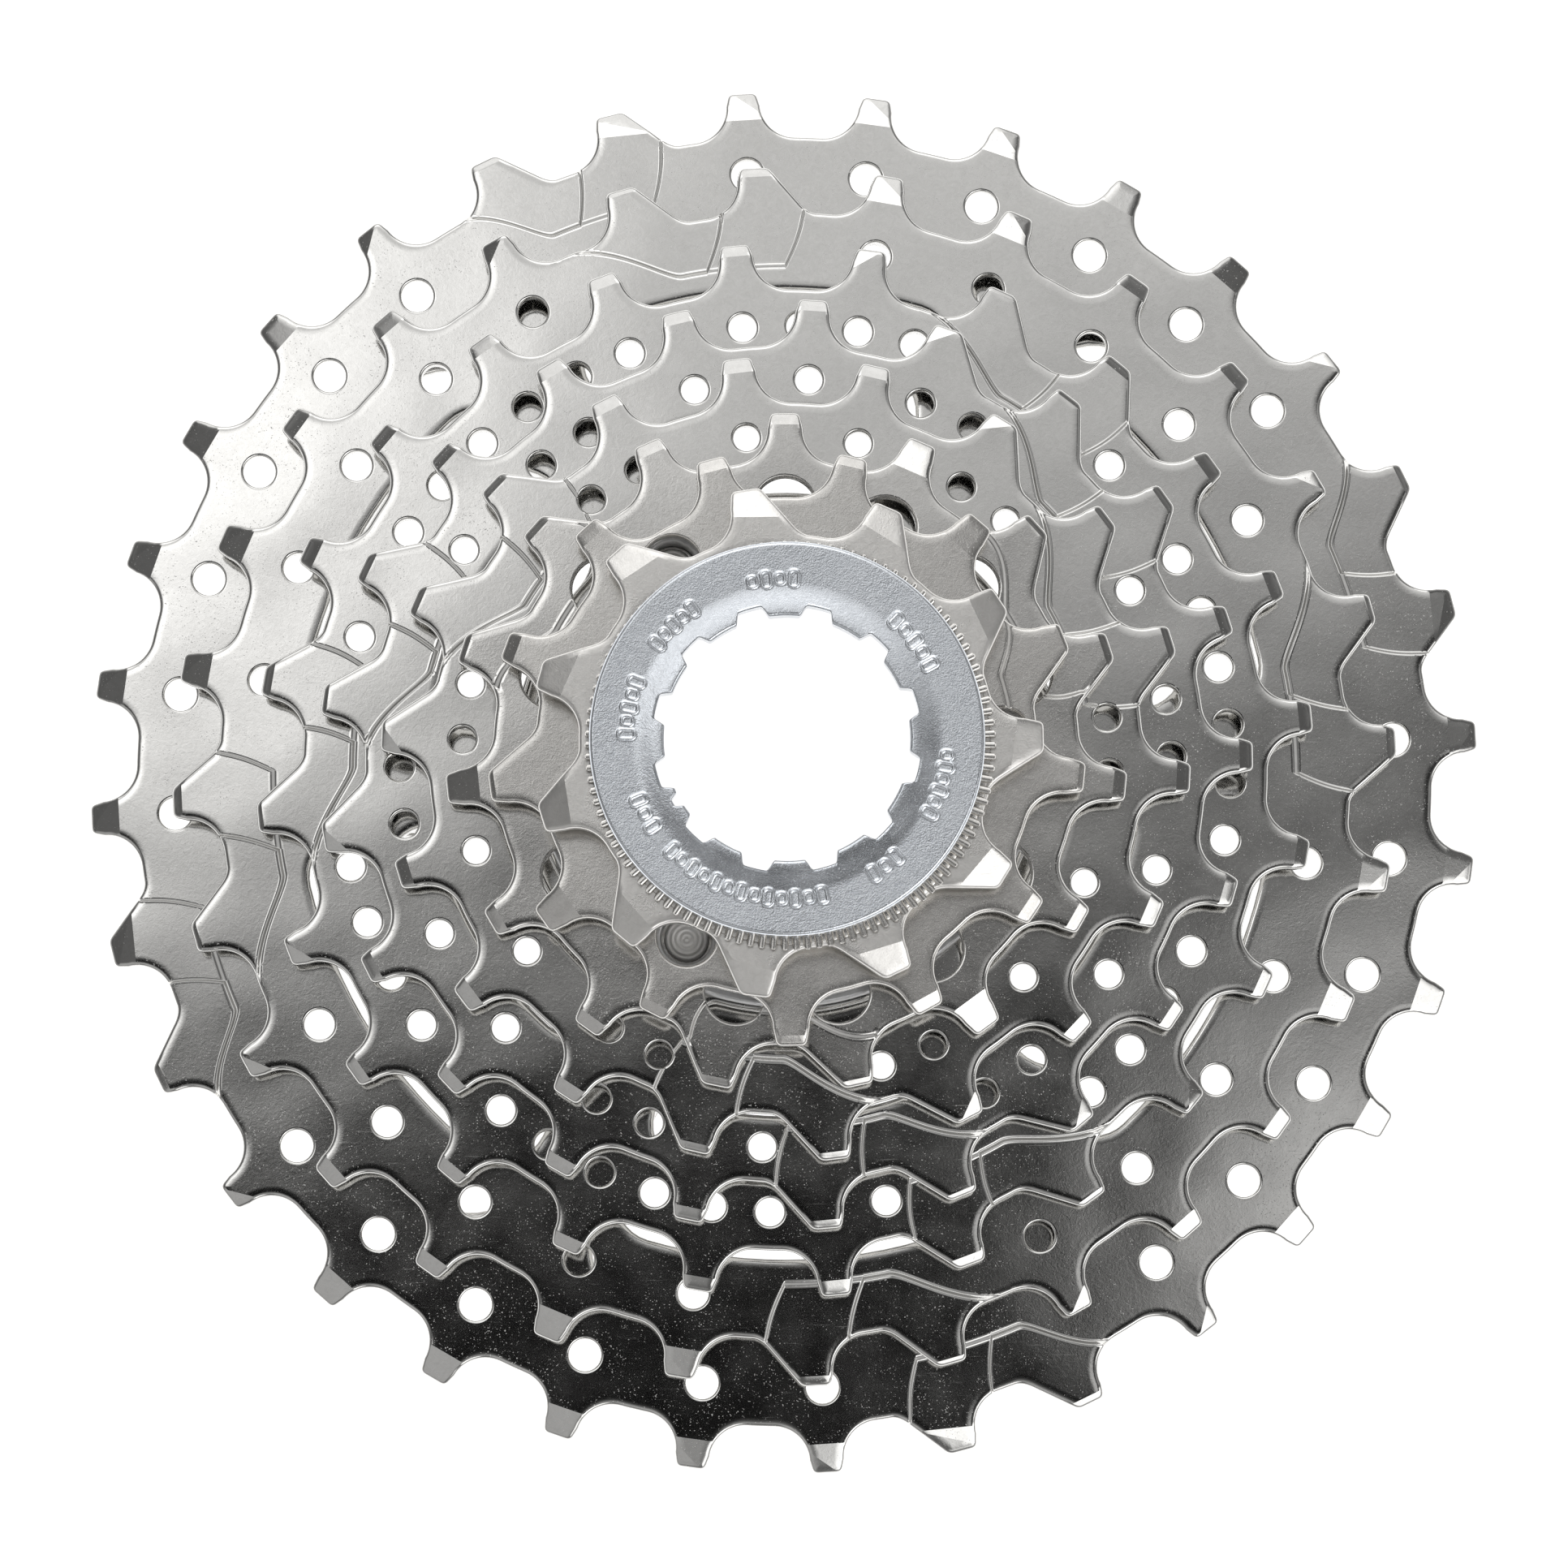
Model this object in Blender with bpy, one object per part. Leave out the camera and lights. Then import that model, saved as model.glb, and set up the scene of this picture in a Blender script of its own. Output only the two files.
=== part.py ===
"""Eight-speed bicycle cassette: eight sprockets, their spacers, three rivets and a lockring.

The axle lies along +Z and the small sprocket is on top.  The back face of the largest sprocket
lies in the plane Z = 0 and the axle passes through the origin.
"""
import math

import bmesh
import bpy
from mathutils import Vector

MM = 0.001

# Chain and stack
CHAIN_PITCH = 12.7 * MM
ROLLER_DIAMETER = 7.75 * MM
SPROCKET_PITCH = 4.8 * MM
SPROCKET_THICKNESS = 1.8 * MM
FACE_GAP = 0.3 * MM              # left between two faces that touch

# Teeth
TIP_ABOVE_PITCH_CIRCLE = 0.5 * MM
TIP_HALF_WIDTH = 1.2 * MM
FLANK_HALF_WIDTH = 1.65 * MM     # half of the tooth where its flanks stand upright
FLANK_RADIUS = 3.3 * MM          # hollow between the flank and the valley floor
RAMP_FOOT_SETBACK = 1.1 * MM     # from the middle of a valley to the foot of a ramped flank
RAMP_FOOT_HEIGHT = 0.35 * MM
FLANK_STEPS = 2

# Freehub spline
SPLINE_TABS = 9
SPLINE_MAJOR_RADIUS = 17.45 * MM
TAB_HEIGHT = 1.25 * MM
SPLINE_MINOR_RADIUS = SPLINE_MAJOR_RADIUS - TAB_HEIGHT
TAB_WIDTH = math.radians(16.0)
KEY_TAB_WIDTH = math.radians(9.0)
SPLINE_START = math.radians(2.3)

# Rivets and the spacers
RIVET_COUNT = 3
RIVET_SHANK_RADIUS = 1.5 * MM
RIVET_TO_SPLINE = 0.45 * MM
RIVET_CIRCLE_RADIUS = SPLINE_MAJOR_RADIUS + RIVET_TO_SPLINE + RIVET_SHANK_RADIUS
RIVET_HEAD_OVERHANG = 0.5 * MM
RIVET_HEAD_RADIUS = RIVET_SHANK_RADIUS + RIVET_HEAD_OVERHANG
RIVET_HEAD_HEIGHT = 0.9 * MM
RIVET_CLEARANCE = 0.3 * MM
RIVET_BACK_RECESS = 0.3 * MM     # the peened end stays this far inside the back face
SPACER_BORE_CLEARANCE = 0.3 * MM
CLUSTER_SPACER_RIM = 1.6 * MM    # outside the rivet heads
CLUSTER_SPACER_RADIUS = RIVET_CIRCLE_RADIUS + RIVET_HEAD_RADIUS + CLUSTER_SPACER_RIM
HEAD_CLEARANCE = 0.3 * MM        # loose spacer around a rivet head
LOOSE_SPACER_RIM = 0.6 * MM
LOOSE_SPACER_RADIUS = RIVET_CIRCLE_RADIUS + RIVET_HEAD_RADIUS + HEAD_CLEARANCE + LOOSE_SPACER_RIM
HEAD_WINDOW_CLEARANCE = 0.7 * MM  # in the sprocket that is over the rivet heads
BOSS_WALL = 0.85 * MM            # spacer built into the smallest sprocket
BOSS_RADIUS = SPLINE_MAJOR_RADIUS + BOSS_WALL

# Arms
ARM_COUNT = 6
ARM_HALF_WIDTH = 4.2 * MM

# Lockring
THREAD_TO_TABS = 0.9 * MM
THREAD_RADIUS = SPLINE_MINOR_RADIUS - THREAD_TO_TABS
LOCKRING_OVERLAP = 0.25 * MM     # of the flange over the spline grooves
LOCKRING_RADIUS = SPLINE_MAJOR_RADIUS + LOCKRING_OVERLAP
LOCKRING_FLANGE = 1.5 * MM
LOCKRING_CHAMFER = 0.35 * MM
SLEEVE_LENGTH = 5.5 * MM
TOOL_NOTCHES = 12
TOOL_NOTCH_START = math.radians(16.2)
TOOL_NOTCH_WIDTH = math.radians(9.6)
TOOL_LUG_WIDTH = math.radians(13.5)
TOOL_DEPTH = 2.2 * MM            # the lugs are short; behind them the sleeve is wider
SLEEVE_WALL = 2.2 * MM
SLEEVE_BORE_RADIUS = THREAD_RADIUS - SLEEVE_WALL
TOOL_LEDGE = 1.1 * MM            # from the sleeve's bore to the bottom of the notches
TOOL_NOTCH_RADIUS = SLEEVE_BORE_RADIUS - TOOL_LEDGE
TOOL_LUG_HEIGHT = 1.0 * MM
TOOL_LUG_RADIUS = TOOL_NOTCH_RADIUS - TOOL_LUG_HEIGHT
WASHER_RIM = 1.0 * MM             # seen outside the lockring
WASHER_RADIUS = LOCKRING_RADIUS + WASHER_RIM
WASHER_THICKNESS = 0.4 * MM
WASHER_CLEARANCE = 0.4 * MM      # around the lockring's thread

CIRCLE_SIDES = 30
HOLE_SIDES = 8
WINDOW_ARC_STEPS = 3
WINDOW_CORNER_STEPS = 2
CUTTER_MARGIN = 2.0 * MM

# Largest first.  first_tooth is the angle of tooth 0 in degrees.  ramped lists the teeth, counted
# within each repeat, whose lower-angle flank is a long ramp.  holes lists half pitches in each
# repeat, hole_depth is from the valley floor to the hole centres.  rim is left outside the windows
# and hub_ring inside them, around the spacers.
SPROCKETS = [
    {"teeth": 32, "first_tooth": 3.5, "repeat": 8, "ramped": (1, 2), "hole_depth": 3.6 * MM,
     "hole_radius": 1.6 * MM, "holes": (0, 6, 8, 10, 12, 14),
     "rim": 9.6 * MM, "hub_ring": 2.5 * MM, "window_corner": 5.0 * MM},
    {"teeth": 28, "first_tooth": 2.9, "repeat": 7, "ramped": (0, 1), "hole_depth": 3.5 * MM,
     "hole_radius": 1.5 * MM, "holes": (4, 6, 8, 10, 12),
     "rim": 7.4 * MM, "hub_ring": 2.5 * MM, "window_corner": 4.0 * MM},
    {"teeth": 24, "first_tooth": 5.5, "repeat": 8, "ramped": (3, 4), "hole_depth": 3.5 * MM,
     "hole_radius": 1.4 * MM, "holes": (0, 1, 2, 3, 5, 9, 10, 11, 12, 14, 15),
     "rim": 6.6 * MM, "hub_ring": 2.5 * MM, "window_corner": 4.0 * MM},
    {"teeth": 21, "first_tooth": 0.8, "repeat": 7, "ramped": (2, 3, 4), "hole_depth": 3.2 * MM,
     "hole_radius": 1.35 * MM, "holes": (0, 1, 3, 7, 8, 10, 12),
     "rim": 6.1 * MM, "hub_ring": 2.0 * MM, "window_corner": 3.0 * MM},
    {"teeth": 18, "first_tooth": -3.0, "repeat": 6, "ramped": (1, 2, 3), "hole_depth": 3.1 * MM,
     "hole_radius": 1.3 * MM, "holes": (0, 1, 5, 6, 8, 10),
     "rim": 6.4 * MM, "hub_ring": 0.5 * MM, "window_corner": 1.1 * MM},
    {"teeth": 15, "first_tooth": -5.8, "repeat": 5, "ramped": (1, 2), "hole_depth": 4.3 * MM,
     "hole_radius": 2.9 * MM, "holes": (2, 4, 6, 8)},
    {"teeth": 13, "first_tooth": -6.0, "repeat": 13, "ramped": (1, 7)},
    {"teeth": 11, "first_tooth": 1.1, "repeat": 1, "ramped": (0,)},
]
RIVETED_SPROCKETS = 6

NICKEL = (0.62, 0.61, 0.59, 1.0)
SATIN_STEEL = (0.57, 0.56, 0.54, 1.0)
LOCKRING_STEEL = (0.66, 0.68, 0.71, 1.0)
SPACER_GREY = (0.50, 0.51, 0.52, 1.0)


def clear_scene():
    for item in list(bpy.data.objects):
        bpy.data.objects.remove(item, do_unlink=True)


def make_material(name, colour, roughness, metallic):
    material = bpy.data.materials.new(name)
    material.use_nodes = True
    shader = material.node_tree.nodes["Principled BSDF"]
    shader.inputs["Base Color"].default_value = colour
    shader.inputs["Roughness"].default_value = roughness
    shader.inputs["Metallic"].default_value = metallic
    return material


def polar(radius, angle):
    return Vector((radius * math.cos(angle), radius * math.sin(angle)))


def circle(radius, sides, centre=Vector((0.0, 0.0)), start=0.0):
    return [centre + polar(radius, start + 2.0 * math.pi * step / sides) for step in range(sides)]


def arc(centre, radius, start, end, steps):
    return [centre + polar(radius, start + (end - start) * step / steps) for step in range(steps + 1)]


def turn(points, angle):
    cosine = math.cos(angle)
    sine = math.sin(angle)
    return [Vector((p.x * cosine - p.y * sine, p.x * sine + p.y * cosine)) for p in points]


def mirror(points):
    """The same outline on the other side of the local X axis, listed backwards."""
    return [Vector((p.x, -p.y)) for p in reversed(points)]


def pitch_radius(teeth):
    return CHAIN_PITCH / (2.0 * math.sin(math.pi / teeth))


def root_radius(teeth):
    return pitch_radius(teeth) - ROLLER_DIAMETER / 2.0


def front_face(index):
    """Height of the front face of a sprocket, counted from the largest."""
    return SPROCKET_THICKNESS + index * SPROCKET_PITCH


def plain_flank(teeth):
    """From the tip to the valley floor, on the +Y side of a tooth that points along +X."""
    centre_radius = root_radius(teeth) + FLANK_RADIUS
    lean = math.asin((FLANK_HALF_WIDTH + FLANK_RADIUS) / centre_radius)
    centre = polar(centre_radius, lean)
    tip = Vector((pitch_radius(teeth) + TIP_ABOVE_PITCH_CIRCLE, TIP_HALF_WIDTH))
    return [tip] + arc(centre, FLANK_RADIUS, -math.pi / 2.0, -math.pi + lean, FLANK_STEPS)


def ramped_flank(teeth):
    """A flank that leans far over towards the valley, so that the chain climbs it."""
    root = root_radius(teeth)
    tip = Vector((pitch_radius(teeth) + TIP_ABOVE_PITCH_CIRCLE, TIP_HALF_WIDTH))
    floor_angle = math.pi / teeth - RAMP_FOOT_SETBACK / root
    foot = polar(root, floor_angle)
    knee = polar(root + RAMP_FOOT_HEIGHT, floor_angle - RAMP_FOOT_SETBACK / root)
    return [tip, knee, foot]


def tooth_outline(spec):
    teeth = spec["teeth"]
    points = []
    for tooth in range(teeth):
        ramped = tooth % spec["repeat"] in spec["ramped"]
        low_side = mirror(ramped_flank(teeth) if ramped else plain_flank(teeth))
        angle = math.radians(spec["first_tooth"]) + 2.0 * math.pi * tooth / teeth
        points += turn(low_side + plain_flank(teeth), angle)
    return points


def spline_bore():
    """Nine tabs that slide into the grooves of the freehub; the narrow one keys the position."""
    points = []
    for tab in range(SPLINE_TABS):
        middle = SPLINE_START + 2.0 * math.pi * tab / SPLINE_TABS
        following = middle + 2.0 * math.pi / SPLINE_TABS
        half = (KEY_TAB_WIDTH if tab == 0 else TAB_WIDTH) / 2.0
        next_half = (KEY_TAB_WIDTH if tab == SPLINE_TABS - 1 else TAB_WIDTH) / 2.0
        points += [polar(SPLINE_MINOR_RADIUS, middle - half), polar(SPLINE_MINOR_RADIUS, middle + half)]
        points += arc(Vector((0.0, 0.0)), SPLINE_MAJOR_RADIUS, middle + half, following - next_half, 2)
    return points


def window_outline(outer, inner, corner):
    """Half of the opening beside an arm along +X, then its mirror image up to the next arm."""
    side = ARM_HALF_WIDTH + corner
    outer_centre = Vector((math.sqrt((outer - corner) ** 2 - side ** 2), side))
    inner_centre = Vector((math.sqrt((inner + corner) ** 2 - side ** 2), side))
    outer_lean = math.atan2(outer_centre.y, outer_centre.x)
    inner_lean = math.atan2(inner_centre.y, inner_centre.x)
    spread = math.pi / ARM_COUNT
    half = arc(Vector((0.0, 0.0)), inner, spread, inner_lean, WINDOW_ARC_STEPS // 2)
    half += arc(inner_centre, corner, inner_lean - math.pi, -math.pi / 2.0, WINDOW_CORNER_STEPS)[1:]
    half += arc(outer_centre, corner, -math.pi / 2.0, outer_lean, WINDOW_CORNER_STEPS)
    half += arc(Vector((0.0, 0.0)), outer, outer_lean, spread, WINDOW_ARC_STEPS)[1:]
    straight = turn(half, -spread)
    return turn(straight + mirror(straight)[1:-1], spread)


def windows(spec):
    if "rim" not in spec:
        return []
    outer = root_radius(spec["teeth"]) - spec["rim"]
    outline = window_outline(outer, CLUSTER_SPACER_RADIUS + spec["hub_ring"], spec["window_corner"])
    return [turn(outline, SPLINE_START + 2.0 * math.pi * arm / ARM_COUNT) for arm in range(ARM_COUNT)]


def rivet_centres():
    return [polar(RIVET_CIRCLE_RADIUS, SPLINE_START + 2.0 * math.pi * step / RIVET_COUNT)
            for step in range(RIVET_COUNT)]


def rivet_holes(radius):
    return [circle(radius, HOLE_SIDES, centre) for centre in rivet_centres()]


def lightening_holes(spec):
    if "holes" not in spec:
        return []
    teeth = spec["teeth"]
    radius = root_radius(teeth) - spec["hole_depth"]
    holes = []
    for step in range(2 * teeth):
        if step % (2 * spec["repeat"]) in spec["holes"]:
            angle = math.radians(spec["first_tooth"]) + math.pi * step / teeth
            holes.append(circle(spec["hole_radius"], HOLE_SIDES, polar(radius, angle), angle))
    return holes


def filled_mesh(outline, holes, bottom, top):
    """A flat plate: the outline with its holes, filled and drawn up from bottom to top."""
    shape = bmesh.new()
    for loop in [outline] + holes:
        ring = [shape.verts.new((point.x, point.y, bottom)) for point in loop]
        for start, end in zip(ring, ring[1:] + ring[:1]):
            shape.edges.new((start, end))
    bmesh.ops.triangle_fill(shape, use_beauty=True, edges=shape.edges[:])
    drawn = bmesh.ops.extrude_face_region(shape, geom=shape.faces[:])
    raised = [item for item in drawn["geom"] if isinstance(item, bmesh.types.BMVert)]
    bmesh.ops.translate(shape, verts=raised, vec=(0.0, 0.0, top - bottom))
    bmesh.ops.recalc_face_normals(shape, faces=shape.faces[:])
    return shape


def turned_mesh(profile, sides):
    """A solid of revolution about Z from (radius, height) points that start and end on the axis."""
    shape = bmesh.new()
    rings = []
    for radius, height in profile:
        if radius == 0.0:
            rings.append([shape.verts.new((0.0, 0.0, height))])
        else:
            rings.append([shape.verts.new((p.x, p.y, height)) for p in circle(radius, sides)])
    for low, high in zip(rings, rings[1:]):
        for step in range(sides):
            after = (step + 1) % sides
            corners = [low[step % len(low)], low[after % len(low)],
                       high[after % len(high)], high[step % len(high)]]
            shape.faces.new(list(dict.fromkeys(corners)))
    bmesh.ops.recalc_face_normals(shape, faces=shape.faces[:])
    return shape


def add_object(name, shape, material, location=(0.0, 0.0, 0.0)):
    mesh = bpy.data.meshes.new(name)
    shape.to_mesh(mesh)
    shape.free()
    mesh.materials.append(material)
    mesh.shade_smooth()
    mesh.set_sharp_from_angle(angle=math.radians(35.0))
    item = bpy.data.objects.new(name, mesh)
    item.location = location
    bpy.context.collection.objects.link(item)
    return item


def apply_boolean(target, tool, operation):
    """Cut target with tool, or join tool to it, and drop the tool."""
    modifier = target.modifiers.new("boolean", "BOOLEAN")
    modifier.operation = operation
    modifier.solver = "EXACT"
    modifier.object = tool
    bpy.context.view_layer.update()
    graph = bpy.context.evaluated_depsgraph_get()
    result = bpy.data.meshes.new_from_object(target.evaluated_get(graph))
    target.modifiers.remove(modifier)
    target.data = result
    bpy.data.objects.remove(tool, do_unlink=True)


def make_sprocket(index, spec):
    top = front_face(index)
    small = index == len(SPROCKETS) - 1
    over_heads = index == RIVETED_SPROCKETS
    holes = [spline_bore()] + windows(spec) + lightening_holes(spec)
    if index < RIVETED_SPROCKETS:
        holes += rivet_holes(RIVET_SHANK_RADIUS + RIVET_CLEARANCE)
    if over_heads:
        holes += rivet_holes(RIVET_HEAD_RADIUS + HEAD_WINDOW_CLEARANCE)
    loose = index >= RIVETED_SPROCKETS
    finish = make_material("sprocket_%d_steel" % spec["teeth"], SATIN_STEEL if loose else NICKEL,
                           0.38 if loose else 0.30, 1.0)
    name = "sprocket_%dt" % spec["teeth"]
    plate = filled_mesh(tooth_outline(spec), holes, top - SPROCKET_THICKNESS, top)
    item = add_object(name, plate, finish)
    if small:
        boss_bottom = front_face(index - 1) + FACE_GAP
        boss = filled_mesh(circle(BOSS_RADIUS, CIRCLE_SIDES), [spline_bore()], boss_bottom, top - FACE_GAP)
        apply_boolean(item, add_object("boss", boss, finish), "UNION")
    return item


def make_cluster_spacer(index):
    """A ring between two riveted sprockets, with the rivets through it."""
    bottom = front_face(index) + FACE_GAP
    top = front_face(index + 1) - SPROCKET_THICKNESS - FACE_GAP
    bore = circle(SPLINE_MAJOR_RADIUS + SPACER_BORE_CLEARANCE, CIRCLE_SIDES)
    holes = [bore] + rivet_holes(RIVET_SHANK_RADIUS + RIVET_CLEARANCE)
    teeth = (SPROCKETS[index]["teeth"], SPROCKETS[index + 1]["teeth"])
    finish = make_material("spacer_%d_%d_alloy" % teeth, SPACER_GREY, 0.45, 0.9)
    ring = filled_mesh(circle(CLUSTER_SPACER_RADIUS, CIRCLE_SIDES), holes, bottom, top)
    return add_object("spacer_%dt_%dt" % teeth, ring, finish)


def make_loose_spacer():
    """The ring over the riveted cluster, notched from its bore around each rivet head."""
    index = RIVETED_SPROCKETS - 1
    bottom = front_face(index) + FACE_GAP
    top = front_face(index + 1) - SPROCKET_THICKNESS - FACE_GAP
    bore = circle(SPLINE_MAJOR_RADIUS + SPACER_BORE_CLEARANCE, CIRCLE_SIDES)
    teeth = (SPROCKETS[index]["teeth"], SPROCKETS[index + 1]["teeth"])
    finish = make_material("spacer_%d_%d_alloy" % teeth, SPACER_GREY, 0.45, 0.9)
    ring = filled_mesh(circle(LOOSE_SPACER_RADIUS, CIRCLE_SIDES), [bore], bottom, top)
    item = add_object("spacer_%dt_%dt" % teeth, ring, finish)
    for hole in rivet_holes(RIVET_HEAD_RADIUS + HEAD_CLEARANCE):
        notch = filled_mesh(hole, [], bottom - CUTTER_MARGIN, top + CUTTER_MARGIN)
        apply_boolean(item, add_object("notch", notch, finish), "DIFFERENCE")
    return item


def make_rivets():
    seat = front_face(RIVETED_SPROCKETS - 1) + FACE_GAP
    crown = seat + RIVET_HEAD_HEIGHT
    profile = [(0.0, RIVET_BACK_RECESS), (RIVET_SHANK_RADIUS, RIVET_BACK_RECESS), (RIVET_SHANK_RADIUS, seat),
               (RIVET_HEAD_RADIUS, seat), (RIVET_HEAD_RADIUS, crown - RIVET_HEAD_HEIGHT / 3.0),
               (RIVET_HEAD_RADIUS * 0.7, crown), (0.0, crown)]
    for number, centre in enumerate(rivet_centres(), start=1):
        finish = make_material("rivet_%d_steel" % number, NICKEL, 0.3, 1.0)
        add_object("rivet_%d" % number, turned_mesh(profile, 12), finish, (centre.x, centre.y, 0.0))


def washer_bottom():
    return front_face(len(SPROCKETS) - 1) + FACE_GAP


def lockring_seat():
    return washer_bottom() + WASHER_THICKNESS + FACE_GAP


def make_washer():
    bore = circle(THREAD_RADIUS + WASHER_CLEARANCE, CIRCLE_SIDES)
    ring = filled_mesh(circle(WASHER_RADIUS, CIRCLE_SIDES), [bore], washer_bottom(),
                       washer_bottom() + WASHER_THICKNESS)
    finish = make_material("washer_steel", SATIN_STEEL, 0.35, 1.0)
    return add_object("lockring_washer", ring, finish)


def tool_bore():
    """Twelve notches for the lockring tool, with lugs between them."""
    division = 2.0 * math.pi / TOOL_NOTCHES
    points = []
    for notch in range(TOOL_NOTCHES):
        for middle, width, radius in ((0.0, TOOL_NOTCH_WIDTH, TOOL_NOTCH_RADIUS),
                                      (0.5 * division, TOOL_LUG_WIDTH, TOOL_LUG_RADIUS)):
            centre = TOOL_NOTCH_START + notch * division + middle
            points += [polar(radius, centre - width / 2.0), polar(radius, centre + width / 2.0)]
    return points


def make_lockring():
    seat = lockring_seat()
    face = seat + LOCKRING_FLANGE
    foot = seat - SLEEVE_LENGTH
    profile = [(0.0, foot), (THREAD_RADIUS, foot), (THREAD_RADIUS, seat), (LOCKRING_RADIUS, seat),
               (LOCKRING_RADIUS, face - LOCKRING_CHAMFER), (LOCKRING_RADIUS - LOCKRING_CHAMFER, face),
               (0.0, face)]
    finish = make_material("lockring_steel", LOCKRING_STEEL, 0.35, 1.0)
    item = add_object("lockring", turned_mesh(profile, CIRCLE_SIDES), finish)
    cutter = filled_mesh(tool_bore(), [], foot - CUTTER_MARGIN, face + CUTTER_MARGIN)
    apply_boolean(item, add_object("tool_bore", cutter, finish), "DIFFERENCE")
    wider = filled_mesh(circle(SLEEVE_BORE_RADIUS, CIRCLE_SIDES), [], foot - CUTTER_MARGIN, face - TOOL_DEPTH)
    apply_boolean(item, add_object("sleeve_bore", wider, finish), "DIFFERENCE")
    return item


def build():
    clear_scene()
    for index, spec in enumerate(SPROCKETS):
        make_sprocket(index, spec)
    for index in range(RIVETED_SPROCKETS - 1):
        make_cluster_spacer(index)
    make_loose_spacer()
    make_rivets()
    make_washer()
    make_lockring()


build()
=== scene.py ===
"""Looks of the eight-speed cassette: finely modelled sprockets, rivets, spacers, washer and lockring.

Lengths are in millimetres until a mesh is made, angles in degrees where a name says so.
"""
import math

import bpy
import numpy as np
from mathutils import Matrix, Vector
from mathutils.geometry import delaunay_2d_cdt
from mathutils.kdtree import KDTree


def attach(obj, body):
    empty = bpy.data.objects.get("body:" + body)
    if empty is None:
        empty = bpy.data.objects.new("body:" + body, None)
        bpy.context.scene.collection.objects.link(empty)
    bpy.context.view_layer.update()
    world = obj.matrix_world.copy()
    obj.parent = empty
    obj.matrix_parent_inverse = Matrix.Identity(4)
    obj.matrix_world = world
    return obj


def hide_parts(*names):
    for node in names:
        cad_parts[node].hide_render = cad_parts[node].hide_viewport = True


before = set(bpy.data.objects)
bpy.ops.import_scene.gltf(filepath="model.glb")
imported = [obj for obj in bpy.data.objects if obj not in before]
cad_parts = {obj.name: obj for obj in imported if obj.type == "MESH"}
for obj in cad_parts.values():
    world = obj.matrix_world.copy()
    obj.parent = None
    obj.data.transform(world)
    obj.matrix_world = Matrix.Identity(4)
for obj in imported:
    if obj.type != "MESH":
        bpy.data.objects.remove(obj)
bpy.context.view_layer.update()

MM = 0.001

# Chain and teeth
CHAIN_PITCH = 12.7
ROLLER_RADIUS = 3.875
TIP_ABOVE_PITCH_CIRCLE = 0.5
TIP_HALF_WIDTH = 1.32
TIP_ROUNDING = 0.5
FLANK_HALF_WIDTH = 1.65
FLANK_RADIUS = 3.3
RAMP_FOOT_SETBACK = 0.35
RAMP_KNEE_SETBACK = 1.9
RAMP_KNEE_HEIGHT = 1.0
RAMP_CORNER_SETBACK = 1.14
RAMP_CORNER_HEIGHT = 0.1

# Hub
SPLINE_TABS = 9
SPLINE_MINOR_RADIUS = 16.2
SPLINE_MAJOR_RADIUS = 17.45
TAB_WIDTH = 16.0
KEY_TAB_WIDTH = 9.0
SPLINE_START = 2.3
SPLINE_SLANT = 0.6               # of the sides of the grooves, in degrees
HUB_RADIUS = 23.0
ARM_COUNT = 6
ARM_HALF_WIDTH = 4.2
RIVET_COUNT = 3
RIVET_CIRCLE_RADIUS = 19.4
RIVET_HOLE_RADIUS = 1.8
RIVET_HEAD_RADIUS = 2.0
HEAD_WINDOW_RADIUS = 2.7
BOSS_RADIUS = 18.3

EDGE_RADIUS = 0.26               # rounding of every stamped edge
HOLE_EDGE_RADIUS = 0.18          # of the drilled holes
DRILLED_SIZE = 6.2               # holes no larger than this are drilled
DRILL_ALLOWANCE = 0.1            # the drilled holes' straight part is this much smaller
EDGE_STEPS = 3
ROLL_WIDTH = 0.6                 # soft die roll inside the rounding
ROLL_DEPTH = 0.018
WALL_STEP = 0.25                 # spacing of the points along the walls of the shift pockets
WALL_SHARES = (-0.35, 0.0, 0.15, 0.35, 0.5, 0.65, 0.85, 1.0, 1.35)
ROLL_SHARES = (0.3, 0.6, 1.0, 1.2)
ROLL_SAMPLE = 0.1                # spacing of the edge points it is measured from
HOLE_COLLAR = 0.1                # flat ring of the face round each drilled hole
GUIDE_START = 0.5                # how far guide lines run in below a pocket
GUIDE_OVERRUN = 1.2              # and out past the valley floor
GUIDE_SLACK = 0.1
MITRE_LIMIT = 0.6
CAP_TOLERANCE = 1e-4

# Tip bevels: drop per millimetre past a fold, and folds as two points (lateral, height).  Heights of
# the ramp folds count from the valley floor, the others from the tip
SHORT_SLOPE = 0.36
LONG_SLOPE = 0.25
TWIST_SLOPE = 0.09
RAMP_BASE = ((-3.6, 1.55), (1.8, 2.4))
RAMP_FOLD = ((-3.0, 1.9), (0.5, 3.6))
CORNER_FOLD = ((-1.05, 0.0), (2.2, -2.6))
LEAN_FOLD = ((-2.6, -3.0), (2.6, -2.2))
TWIST_FOLD = ((-2.45, -2.7), (1.0, 0.0))
BEVEL_REACH = 4.0                # half the length of a level fold
BEVEL_START = 0.3                # lowest reach of a bevel above the valley floor

# Shift pockets
STEP_WALL = 0.32
SHORE_WALL = 0.6
FIRST_STEP = 0.3
SECOND_STEP = 0.35
SHORE_RISE = 3.0                 # per degree, past the end of the shore
SHORE_POWER = 0.75
STEP_BOW = 0.35                  # of the radial steps, towards lower angles
STEP_OVERRUN = 0.6               # of the radial steps, past the valley floor
POCKET_LEAD = 3.0                # degrees before its first step that belong to a pocket

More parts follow.
